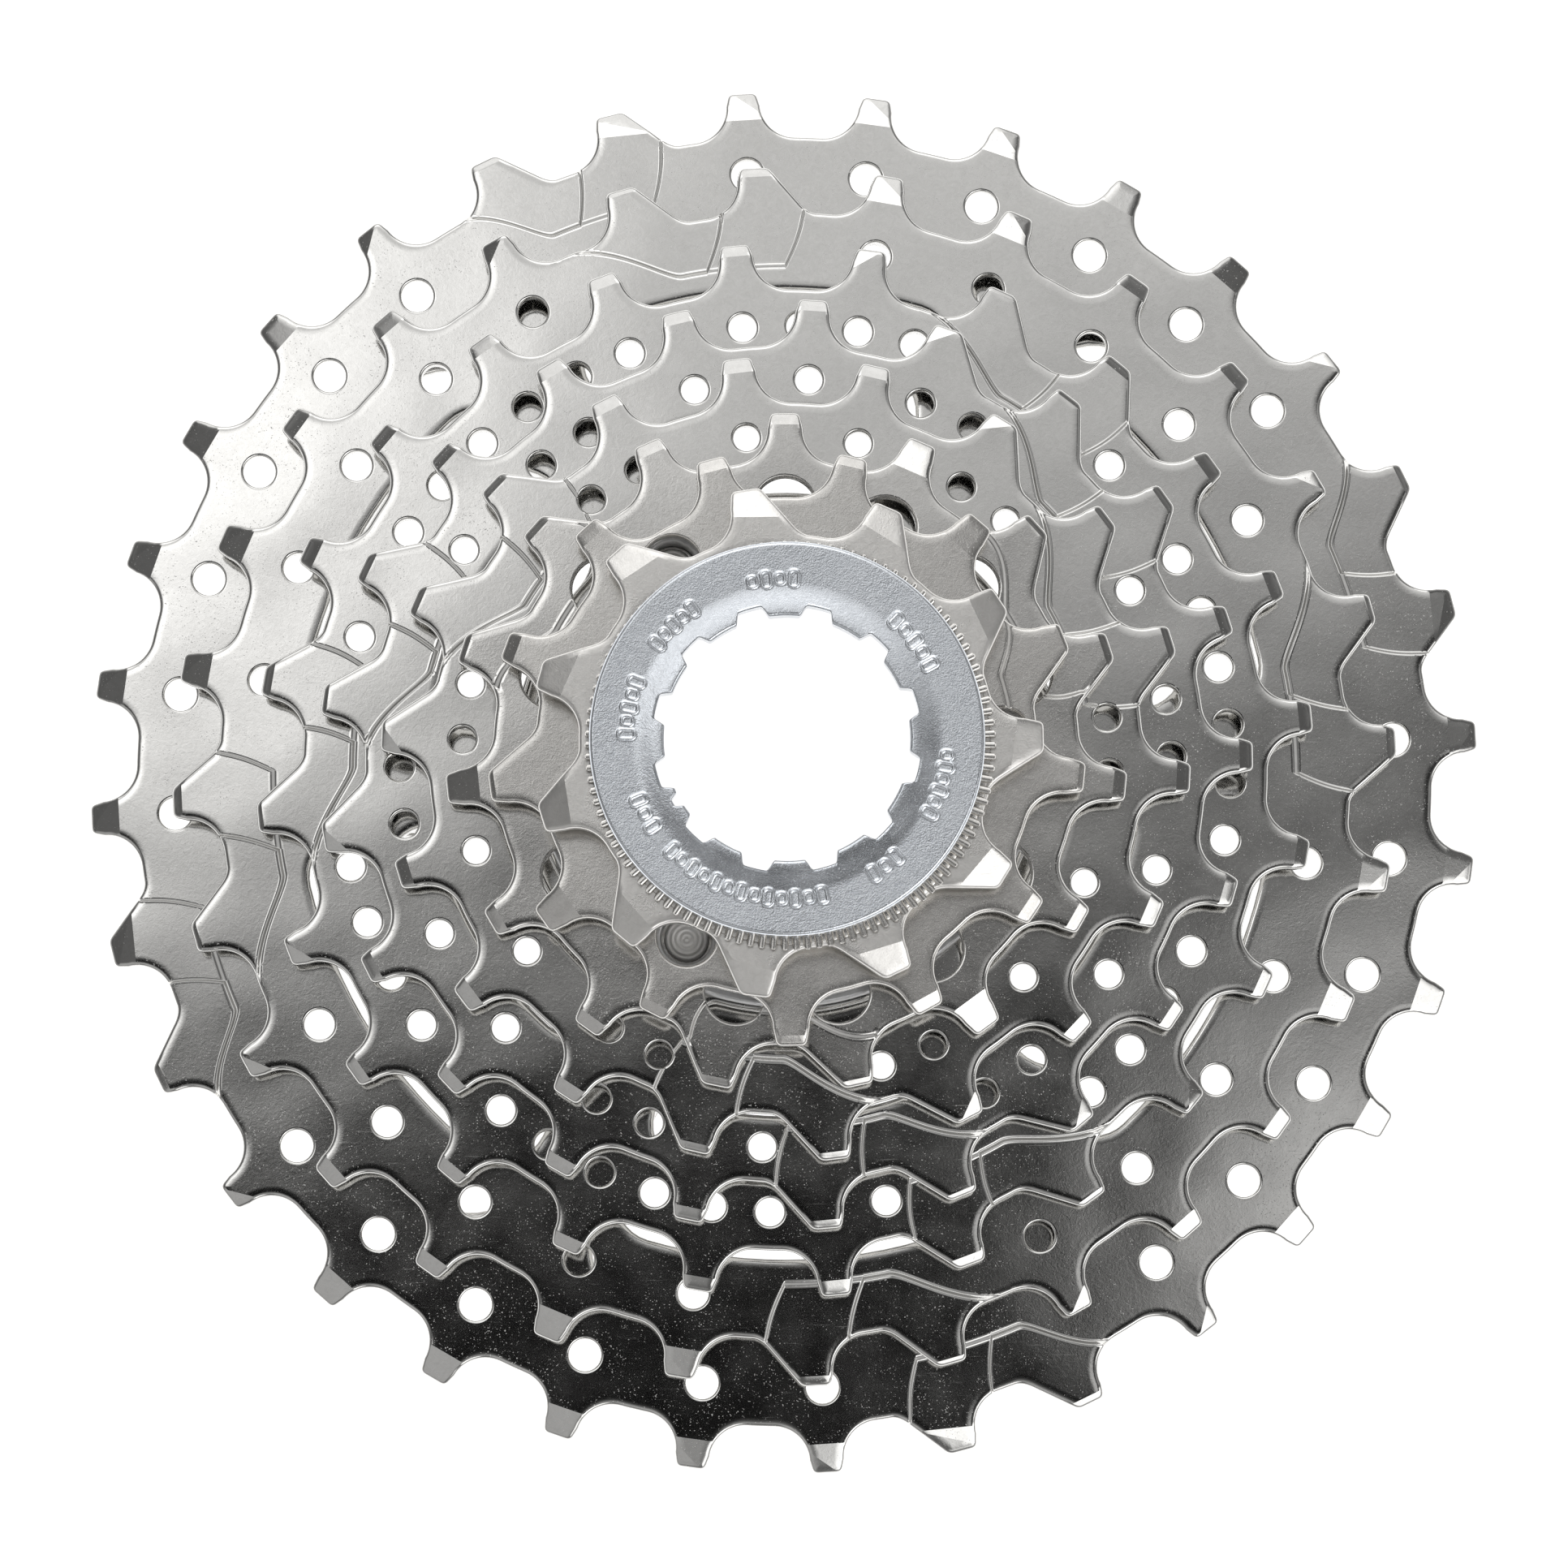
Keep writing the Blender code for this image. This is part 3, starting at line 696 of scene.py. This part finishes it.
CLUSTER_SPACER_RADIUS = 23.0
SPACER_BORE_RADIUS = 17.75
LOOSE_SPACER_RADIUS = 22.3
HEAD_NOTCH_RADIUS = 2.3
RIVET_SHANK_RADIUS = 1.5
RIVET_BOTTOM = 0.3
RIVET_HEAD_BOTTOM = 26.1
RIVET_TOP = 27.0
HEAD_STEPS = 24
HEAD_CROWN = 0.3                 # fall of a rivet head towards its rim
HEAD_DIP = 0.05
TURNING_HEIGHT = 0.03            # of the rings turned into a rivet head
TURNING_SPACING = 0.45
BOSS_BOTTOM = 30.9
BOSS_OVERLAP = 0.4               # of the boss and its sprocket

WASHER_BORE_RADIUS = 15.7
WASHER_RADIUS = 18.4
WASHER_BOTTOM = 35.7
WASHER_TOP = 36.1
SERRATIONS = 110
SERRATION_START = 16.9
SERRATION_DEPTH = 0.32
SERRATION_INSET = 0.5            # of the rim between two serrations
WASHER_PLAY = (0.3, -0.45)        # it lies off the lockring's centre

# Raised outlines of plain bars round the lockring's face: start and end of each group in degrees
MARK_GROUPS = [(25, 50), (85, 105), (124, 146), (157, 181), (200, 216), (222, 285), (300, 315), (330, 356)]
MARK_PITCH = 4.7
MARK_RADIUS = 14.35
MARK_HALF_WIDTH = 0.42
MARK_HALF_HEIGHTS = (0.75, 0.5)  # of the bars in turn
MARK_ROUNDING = 0.34
MARK_CREST = 0.04
MARK_LINE = 0.14
MARK_RISE = 0.06

LOCKRING_FOOT = 30.9
LOCKRING_SEAT = 36.4
LOCKRING_FACE = 37.9
LOCKRING_RADIUS = 17.7
THREAD_RADIUS = 15.3
THREAD_DEPTH = 0.45
THREAD_LEAD = 25.4 / 24.0
SLEEVE_BORE_RADIUS = 13.1
TOOL_DEPTH = 2.2
FACE_FALL = 0.2                  # the face dips from the opening to its outer band
BAND_RISE = 0.04                 # and rises a little again to the rim
BAND_START = 14.0
FALL_START = 0.3                 # of the dip, past the lugs
FALL_WIDTH = 2.6
LOCKRING_EDGE = 0.22
FACE_RINGS = 66
THREAD_RINGS = 48
THREAD_RUN_OUT = 0.8
SECTIONS_PER_NOTCH = 80
NOTCH_RADIUS = 12.0
LUG_RADIUS = 11.0
NOTCHES = 12
NOTCH_START = 16.2
NOTCH_WIDTH = 9.6
LUG_WIDTH = 13.5
MARK_NOTCH = 209.8               # one lug carries a small notch
MARK_NOTCH_HALF_WIDTH = 1.3
MARK_NOTCH_SLANT = 2.5
MARK_NOTCH_RADIUS = 11.7


def cluster_spacer(index):
    low = index * SPROCKET_PITCH + SPROCKET_THICKNESS + FACE_GAP
    high = (index + 1) * SPROCKET_PITCH - FACE_GAP
    holes = [circle(SPACER_BORE_RADIUS, 96)] + [circle(RIVET_HOLE_RADIUS, 24, p) for p in rivet_points()]
    return plate("cluster_spacer", circle(CLUSTER_SPACER_RADIUS, 160), holes, low, high)[0]


def loose_spacer():
    """Its bore is notched for the rivet heads."""
    low = (RIVETED - 1) * SPROCKET_PITCH + SPROCKET_THICKNESS + FACE_GAP
    high = RIVETED * SPROCKET_PITCH - FACE_GAP
    return plate("loose_spacer", circle(LOOSE_SPACER_RADIUS, 160), [notched_bore()], low, high)[0]


def notched_bore():
    """The bore circle with three round bays for the rivet heads."""
    points = []
    reach = (RIVET_CIRCLE_RADIUS ** 2 + SPACER_BORE_RADIUS ** 2 - HEAD_NOTCH_RADIUS ** 2)
    half = math.degrees(math.acos(reach / (2.0 * RIVET_CIRCLE_RADIUS * SPACER_BORE_RADIUS)))
    division = 360.0 / RIVET_COUNT
    for number in range(RIVET_COUNT):
        middle = SPLINE_START + division * number
        centre = polar(RIVET_CIRCLE_RADIUS, middle)
        corner = polar(SPACER_BORE_RADIUS, middle - half) - centre
        lean = math.degrees(math.atan2(corner[1], corner[0])) - middle
        sweep = 2.0 * (360.0 - lean % 360.0)
        points += arc(centre, HEAD_NOTCH_RADIUS, middle - sweep / 2.0, middle + sweep / 2.0, 20)
        points += arc((0, 0), SPACER_BORE_RADIUS, middle + half, middle + division - half, 40)[1:-1]
    return np.array(points)


def rivet(number, centre):
    """A shank with a low head that has fine turned rings."""
    head = []
    for step in range(HEAD_STEPS + 1):
        radius = RIVET_HEAD_RADIUS * (1.0 - step / HEAD_STEPS)
        ripple = TURNING_HEIGHT * math.cos(radius * 2.0 * math.pi / TURNING_SPACING)
        crown = HEAD_CROWN * (radius / RIVET_HEAD_RADIUS) ** 4
        head.append((radius, RIVET_TOP - HEAD_DIP - crown + ripple))
    section = [(0.0, RIVET_BOTTOM), (RIVET_SHANK_RADIUS - 0.2, RIVET_BOTTOM),
               (RIVET_SHANK_RADIUS, RIVET_BOTTOM + 0.2), (RIVET_SHANK_RADIUS, RIVET_HEAD_BOTTOM),
               (RIVET_HEAD_RADIUS - 0.1, RIVET_HEAD_BOTTOM),
               (RIVET_HEAD_RADIUS, RIVET_HEAD_BOTTOM + 0.1)] + head
    sides = 40
    points = [(0.0, 0.0, RIVET_BOTTOM), (0.0, 0.0, head[-1][1])]
    for radius, height in section[1:-1]:
        points += [(radius * math.cos(a), radius * math.sin(a), height) for a in steady(sides)]
    rings = len(section) - 2
    faces = []
    for i in range(sides):
        j = (i + 1) % sides
        faces.append((0, 2 + j, 2 + i))
        faces.append((1, 2 + (rings - 1) * sides + i, 2 + (rings - 1) * sides + j))
        for k in range(rings - 1):
            low, high = 2 + k * sides, 2 + (k + 1) * sides
            faces.append((low + i, low + j, high + j, high + i))
    mesh = bpy.data.meshes.new("rivet_%d" % number)
    mesh.from_pydata([((x + centre[0]) * MM, (y + centre[1]) * MM, z * MM) for x, y, z in points], [], faces)
    return mesh


def washer():
    """A thin ring whose rim is cut into fine radial serrations."""
    def section(angle):
        phase = (angle * SERRATIONS / (2.0 * math.pi)) % 1.0
        tooth = np.clip(3.6 * abs(2.0 * phase - 1.0) - 1.0, 0.0, 1.0)
        dip = SERRATION_DEPTH * (1.0 - tooth)
        rim = WASHER_RADIUS - SERRATION_INSET * (1.0 - tooth)
        return [(WASHER_BORE_RADIUS, WASHER_BOTTOM + 0.05), (WASHER_BORE_RADIUS, WASHER_TOP - 0.08),
                (WASHER_BORE_RADIUS + 0.08, WASHER_TOP), (SERRATION_START, WASHER_TOP),
                (SERRATION_START + 0.25, WASHER_TOP - dip * 0.9), (rim - 0.08, WASHER_TOP - dip),
                (rim, WASHER_TOP - 0.08 - dip * 0.85), (rim, WASHER_BOTTOM + 0.03),
                (rim - 0.05, WASHER_BOTTOM), (WASHER_BORE_RADIUS + 0.05, WASHER_BOTTOM)]
    mesh = turned("washer", steady(SERRATIONS * 8), section)
    mesh.transform(Matrix.Translation((WASHER_PLAY[0] * MM, WASHER_PLAY[1] * MM, 0.0)))
    return mesh


def tool_opening(degrees):
    """Radius of the lockring's opening: twelve lugs with slanted sides."""
    division = 360.0 / NOTCHES
    off = abs((degrees - NOTCH_START + division / 2.0) % division - division / 2.0)
    slant = (division - NOTCH_WIDTH - LUG_WIDTH) / 2.0
    lugs = LUG_RADIUS + (NOTCH_RADIUS - LUG_RADIUS) * (1.0 - smoothstep((off - NOTCH_WIDTH / 2.0) / slant))
    mark = 1.0 - smoothstep((abs(degrees - MARK_NOTCH) - MARK_NOTCH_HALF_WIDTH) / MARK_NOTCH_SLANT)
    return max(lugs, LUG_RADIUS + (MARK_NOTCH_RADIUS - LUG_RADIUS) * mark)


def lockring_face(radius):
    """How far the face lies below its top, which is at the opening."""
    rise = BAND_RISE * max(0.0, radius - BAND_START) / (LOCKRING_RADIUS - BAND_START)
    return FACE_FALL * float(smoothstep((radius - LUG_RADIUS - FALL_START) / FALL_WIDTH)) - rise


def mark_height(degrees, radius):
    """Height of the raised bar outlines at a point of the face."""
    for start, end in MARK_GROUPS:
        if start < degrees < end:
            width = (end - start) / round((end - start) / MARK_PITCH)
            sideways = abs(math.radians((degrees - start) % width - width / 2.0)) * radius
            across = sideways - MARK_HALF_WIDTH + MARK_ROUNDING
            odd = int((degrees - start) / width) % 2
            along = abs(radius - MARK_RADIUS) - MARK_HALF_HEIGHTS[odd] + MARK_ROUNDING
            beyond = math.hypot(max(across, 0.0), max(along, 0.0)) + min(max(across, along), 0.0)
            beyond -= MARK_ROUNDING
            return MARK_RISE * (1.0 - float(smoothstep((abs(beyond) - MARK_CREST) / MARK_LINE)))
    return 0.0


def lockring():
    edge = LOCKRING_EDGE
    bore_edge = [(math.sin(a), math.cos(a)) for a in np.radians((60.0, 30.0))]
    shares = np.linspace(0.0, 1.0, FACE_RINGS)
    splines_end = LOCKRING_FACE - TOOL_DEPTH

    def section(angle):
        degrees = math.degrees(angle)
        opening = float(tool_opening(degrees))
        inner, outer = opening + edge, LOCKRING_RADIUS - 0.3
        points = [(SLEEVE_BORE_RADIUS + 0.3, LOCKRING_FOOT), (SLEEVE_BORE_RADIUS, LOCKRING_FOOT + 0.3),
                  (SLEEVE_BORE_RADIUS, splines_end), (opening + 0.1, splines_end),
                  (opening, splines_end + 0.1), (opening, LOCKRING_FACE - edge)]
        points += [(inner - edge * s, LOCKRING_FACE - edge + edge * c) for s, c in bore_edge]
        radii = [inner + (outer - inner) * share for share in shares]
        points += [(radius, LOCKRING_FACE - lockring_face(radius) + mark_height(degrees, radius))
                   for radius in radii]
        rim = LOCKRING_FACE - FACE_FALL + BAND_RISE
        points += [(LOCKRING_RADIUS - 0.12, rim - 0.06), (LOCKRING_RADIUS - 0.02, rim - 0.2),
                   (LOCKRING_RADIUS, rim - 0.35), (LOCKRING_RADIUS, LOCKRING_SEAT + 0.1),
                   (LOCKRING_RADIUS - 0.1, LOCKRING_SEAT), (THREAD_RADIUS - THREAD_DEPTH, LOCKRING_SEAT)]
        for step in range(1, THREAD_RINGS):
            height = LOCKRING_SEAT - (LOCKRING_SEAT - LOCKRING_FOOT) * step / THREAD_RINGS
            phase = (height / THREAD_LEAD - angle / (2.0 * math.pi)) % 1.0
            crest = np.clip(2.6 * abs(2.0 * phase - 1.0) - 0.8, 0.0, 1.0)
            fade = min(1.0, (LOCKRING_SEAT - height) / THREAD_RUN_OUT)
            points.append((THREAD_RADIUS - THREAD_DEPTH * (1.0 - crest * fade), height))
        points.append((THREAD_RADIUS - 0.5, LOCKRING_FOOT))
        return points

    return turned("lockring", steady(NOTCHES * SECTIONS_PER_NOTCH), section)


# ---------------------------------------------------------------- materials

class Nodes:
    """Small helper that adds and wires shader nodes."""

    def __init__(self, name):
        self.material = bpy.data.materials.new(name)
        self.material.use_nodes = True
        self.tree = self.material.node_tree
        self.shader = self.tree.nodes["Principled BSDF"]
        self.place = self.add("ShaderNodeTexCoord").outputs["Object"]

    def add(self, kind, **settings):
        node = self.tree.nodes.new(kind)
        for name, value in settings.items():
            setattr(node, name, value)
        return node

    def feed(self, socket, value):
        if hasattr(value, "links"):
            self.tree.links.new(value, socket)
        else:
            socket.default_value = value

    def noise(self, scale, detail=2.0, roughness=0.5, distortion=0.0, stretch=None):
        node = self.add("ShaderNodeTexNoise")
        where = self.place
        if stretch:
            mapping = self.add("ShaderNodeMapping")
            self.feed(mapping.inputs["Vector"], self.place)
            mapping.inputs["Rotation"].default_value = (0.0, 0.0, math.radians(stretch[0]))
            mapping.inputs["Scale"].default_value = (stretch[1], 1.0, 1.0)
            where = mapping.outputs["Vector"]
        self.feed(node.inputs["Vector"], where)
        for name, value in (("Scale", scale), ("Detail", detail), ("Roughness", roughness),
                            ("Distortion", distortion)):
            node.inputs[name].default_value = value
        return node.outputs["Fac"]

    def spread(self, value, low, high, to_low, to_high):
        node = self.add("ShaderNodeMapRange", clamp=True)
        for name, item in (("Value", value), ("From Min", low), ("From Max", high), ("To Min", to_low),
                           ("To Max", to_high)):
            self.feed(node.inputs[name], item)
        return node.outputs["Result"]

    def sum(self, *values):
        total = values[0]
        for value in values[1:]:
            node = self.add("ShaderNodeMath", operation="ADD")
            self.feed(node.inputs[0], total)
            self.feed(node.inputs[1], value)
            total = node.outputs[0]
        return total

    def product(self, first, second):
        node = self.add("ShaderNodeMath", operation="MULTIPLY")
        self.feed(node.inputs[0], first)
        self.feed(node.inputs[1], second)
        return node.outputs[0]

    def tint(self, factor, dark, light):
        node = self.add("ShaderNodeMix", data_type="RGBA")
        self.feed(node.inputs[0], factor)
        self.feed(node.inputs[6], dark + (1.0,))
        self.feed(node.inputs[7], light + (1.0,))
        return node.outputs[2]

    def bump(self, layers):
        """layers: (height, depth in millimetres), each laid on the one before."""
        normal = None
        for height, depth in layers:
            node = self.add("ShaderNodeBump")
            node.inputs["Strength"].default_value = 1.0
            node.inputs["Distance"].default_value = depth * MM
            self.feed(node.inputs["Height"], height)
            if normal:
                self.feed(node.inputs["Normal"], normal)
            normal = node.outputs["Normal"]
        self.feed(self.shader.inputs["Normal"], normal)


# Scale of each noise, per metre
WAVE_SCALE = 60.0
CLOUD_SCALE = 260.0
CLUSTER_SCALE = 350.0
MOTTLING_SCALE = 1500.0
SCRATCH_SCALE = 5000.0
GRAIN_SCALE = 6500.0
SPECK_SCALE = 7000.0
SCRATCH_STRETCH = (38.0, 0.05)   # angle in degrees, and how much the noise is stretched along it
SCRATCH_ROUGHNESS = 0.06


def metal(name, dark, light, roughness, wave, mottle, grain, speck):
    """Plated metal: slow waves from stamping, fine mottling, grain, specks and short scratches."""
    nodes = Nodes(name)
    waves = nodes.noise(WAVE_SCALE, 1.0, 0.5)
    mottling = nodes.noise(MOTTLING_SCALE, 3.0, 0.6, 1.2)
    grains = nodes.noise(GRAIN_SCALE, 2.0, 0.6)
    clusters = nodes.spread(nodes.noise(CLUSTER_SCALE, 3.0, 0.7), 0.42, 0.62, 0.15, 1.0)
    specks = nodes.spread(nodes.noise(SPECK_SCALE, 0.0, 0.5), 0.72, 0.80, 0.0, 1.0)
    specks = nodes.product(specks, clusters)
    scratches = nodes.noise(SCRATCH_SCALE, 1.0, 0.5, 0.0, SCRATCH_STRETCH)
    scratches = nodes.spread(scratches, 0.70, 0.80, 0.0, 1.0)
    nodes.shader.inputs["Metallic"].default_value = 1.0
    colour = nodes.tint(nodes.spread(mottling, 0.3, 0.7, 0.0, 1.0), dark, light)
    nodes.feed(nodes.shader.inputs["Base Color"], colour)
    rough = nodes.sum(nodes.spread(nodes.noise(CLOUD_SCALE, 3.0), 0.3, 0.7, roughness[0], roughness[1]),
                      nodes.spread(specks, 0.0, 1.0, 0.0, speck),
                      nodes.spread(scratches, 0.0, 1.0, 0.0, SCRATCH_ROUGHNESS))
    nodes.feed(nodes.shader.inputs["Roughness"], rough)
    nodes.bump([(waves, wave), (mottling, mottle), (grains, grain)])
    return nodes.material


# ---------------------------------------------------------------- stage

CAMERA_TILT = 5.433
CAMERA_ROLL = 0.357
CAMERA_OFFSET = (-0.0445, -0.5314, 706.3)
SENSOR = 36.0
LENS = 172.14


def add_camera():
    data = bpy.data.cameras.new("camera")
    data.sensor_width = SENSOR
    data.lens = LENS
    data.clip_start = 0.05
    data.clip_end = 20.0
    camera = bpy.data.objects.new("camera", data)
    bpy.context.collection.objects.link(camera)
    tilt = Matrix.Rotation(math.radians(CAMERA_TILT), 4, "X")
    roll = Matrix.Rotation(-math.radians(CAMERA_ROLL), 4, "Y")
    camera.matrix_world = tilt @ roll @ Matrix.Translation(Vector(CAMERA_OFFSET) * MM)
    bpy.context.scene.camera = camera


# Soft lights of the studio: direction as azimuth and angle from the zenith, radius and softness of
# the edge, all in degrees, and strength.
SOFT_LIGHTS = [
    (97.0, 26.0, 20.0, 3.5, 0.75),
    (94.0, 45.0, 21.0, 5.0, 1.0),
    (132.5, 9.4, 3.8, 1.6, 0.55),
    (118.0, 11.0, 3.2, 1.6, 0.45),
    (151.0, 14.5, 5.0, 3.0, 0.8),
    (20.0, 5.8, 1.9, 1.2, 0.7),
    (300.0, 35.0, 15.0, 3.0, 1.5),
    (331.0, 35.0, 15.0, 3.0, 1.5),
    (30.0, 27.0, 9.0, 4.0, 0.25),
    (228.0, 34.0, 18.0, 5.0, 0.35),
    (270.0, 14.0, 8.0, 5.0, 0.25),
]
# The room behind them: height of the direction, level
ROOM = [(0.0, 0.8), (0.5, 0.4), (0.7, 0.12), (0.87, 0.15), (0.94, 0.16), (0.975, 0.06),
        (0.987, 0.005), (1.0, 0.005)]


def add_world():
    world = bpy.data.worlds.new("studio")
    bpy.context.scene.world = world
    world.use_nodes = True
    nodes, links = world.node_tree.nodes, world.node_tree.links
    where = nodes.new("ShaderNodeTexCoord").outputs["Generated"]
    parts = nodes.new("ShaderNodeSeparateXYZ")
    links.new(where, parts.inputs[0])
    ramp = nodes.new("ShaderNodeValToRGB")
    links.new(parts.outputs["Z"], ramp.inputs[0])
    stops = ramp.color_ramp.elements
    while len(stops) < len(ROOM):
        stops.new(0.5)
    for stop, (height, level) in zip(stops, ROOM):
        stop.position = height
        stop.color = (level, level, level, 1.0)
    total = ramp.outputs["Color"]
    for azimuth, zenith, radius, softness, strength in SOFT_LIGHTS:
        towards = nodes.new("ShaderNodeVectorMath")
        towards.operation = "DOT_PRODUCT"
        links.new(where, towards.inputs[0])
        flat = polar(math.sin(math.radians(zenith)), azimuth)
        towards.inputs[1].default_value = (flat[0], flat[1], math.cos(math.radians(zenith)))
        fade = nodes.new("ShaderNodeMapRange")
        fade.interpolation_type = "SMOOTHSTEP"
        links.new(towards.outputs["Value"], fade.inputs["Value"])
        fade.inputs["From Min"].default_value = math.cos(math.radians(radius + softness))
        fade.inputs["From Max"].default_value = math.cos(math.radians(radius - softness))
        fade.inputs["To Max"].default_value = strength
        more = nodes.new("ShaderNodeMath")
        links.new(total, more.inputs[0])
        links.new(fade.outputs["Result"], more.inputs[1])
        total = more.outputs[0]
    links.new(total, nodes["Background"].inputs["Color"])


FLOOR_HALF_SIZE = 4000.0
FLOOR_GAP = 0.2                  # below the cassette


def add_floor():
    mesh = bpy.data.meshes.new("floor")
    size = FLOOR_HALF_SIZE * MM
    mesh.from_pydata([(-size, -size, 0.0), (size, -size, 0.0), (size, size, 0.0), (-size, size, 0.0)], [],
                     [(0, 1, 2, 3)])
    floor = bpy.data.objects.new("floor", mesh)
    bpy.context.collection.objects.link(floor)
    floor.location.z = -FLOOR_GAP * MM
    nodes = Nodes("floor")
    nodes.shader.inputs["Base Color"].default_value = (0.85, 0.85, 0.85, 1.0)
    nodes.shader.inputs["Roughness"].default_value = 0.9
    nodes.shader.inputs["Emission Color"].default_value = (1.0, 1.0, 1.0, 1.0)
    nodes.shader.inputs["Emission Strength"].default_value = 0.95
    mesh.materials.append(nodes.material)


# ---------------------------------------------------------------- the cassette

# Name, dark and light colour, least and greatest roughness, depth of the waves, mottling and grain
# in millimetres, and the extra roughness of a speck
METALS = [
    ("nickel", (0.62, 0.613, 0.595), (0.68, 0.673, 0.655), (0.07, 0.10), 0.1, 0.0014, 0.0006, 0.34),
    ("worn_nickel", (0.60, 0.59, 0.57), (0.68, 0.67, 0.65), (0.10, 0.14), 0.1, 0.0025, 0.0016, 0.34),
    ("satin", (0.60, 0.585, 0.56), (0.68, 0.665, 0.64), (0.17, 0.22), 0.1, 0.005, 0.003, 0.3),
    ("matt", (0.68, 0.665, 0.64), (0.76, 0.745, 0.72), (0.26, 0.31), 0.1, 0.008, 0.006, 0.2),
    ("zinc", (0.68, 0.71, 0.75), (0.80, 0.83, 0.87), (0.18, 0.26), 0.1, 0.009, 0.011, 0.2),
    # Turned steel of the rivets: its near-white colour is partly painted light, raised to stand in for the
    # light that the deep-set heads miss
    ("turned_steel_painted_bright", (0.90, 0.89, 0.87), (0.96, 0.95, 0.93), (0.52, 0.60), 0.1, 0.004, 0.002, 0.1),
    ("spacer", (0.50, 0.50, 0.50), (0.60, 0.60, 0.60), (0.38, 0.46), 0.1, 0.01, 0.004, 0.1),
]


def build():
    nickel, worn, satin, matt, zinc, turned_steel_painted_bright, spacer = [metal(*row) for row in METALS]
    bodies = ["cluster"] * RIVETED + ["second_smallest", "smallest"]
    finishes = [nickel] * (RIVETED - 1) + [worn, satin, matt]
    for index, spec in enumerate(SPROCKETS):
        mesh, sharp = sprocket_mesh(index, spec)
        if index == len(SPROCKETS) - 1:
            boss = plate("boss", circle(BOSS_RADIUS, 120), [spline_bore()], BOSS_BOTTOM,
                         index * SPROCKET_PITCH + BOSS_OVERLAP)[0]
            mesh = joined("smallest", mesh, boss)
        finish_mesh(mesh, sharp)
        node = "sprocket_%dt" % spec["teeth"]
        place("Sprocket_%dT" % spec["teeth"], mesh, finishes[index], bodies[index], node)
    teeth = [spec["teeth"] for spec in SPROCKETS]
    for index in range(RIVETED):
        mesh = cluster_spacer(index) if index < RIVETED - 1 else loose_spacer()
        finish_mesh(mesh)
        place("Spacer_%d" % (index + 1), mesh, spacer, "cluster" if index < RIVETED - 1 else "loose_spacer",
              "spacer_%dt_%dt" % (teeth[index], teeth[index + 1]))
    for number, centre in enumerate(rivet_points(), 1):
        mesh = rivet(number, centre)
        finish_mesh(mesh)
        # the rivets' near-white colour is partly painted light for their shaded heads
        place("Rivet_%d" % number, mesh, turned_steel_painted_bright, "cluster", "rivet_%d" % number)
    mesh = washer()
    finish_mesh(mesh, angle=35.0)
    place("Washer", mesh, satin, "washer", "lockring_washer")
    mesh = lockring()
    finish_mesh(mesh)
    place("Lockring", mesh, zinc, "lockring", "lockring")


bpy.context.scene.view_settings.view_transform = "Standard"
add_floor()
add_world()
add_camera()
build()
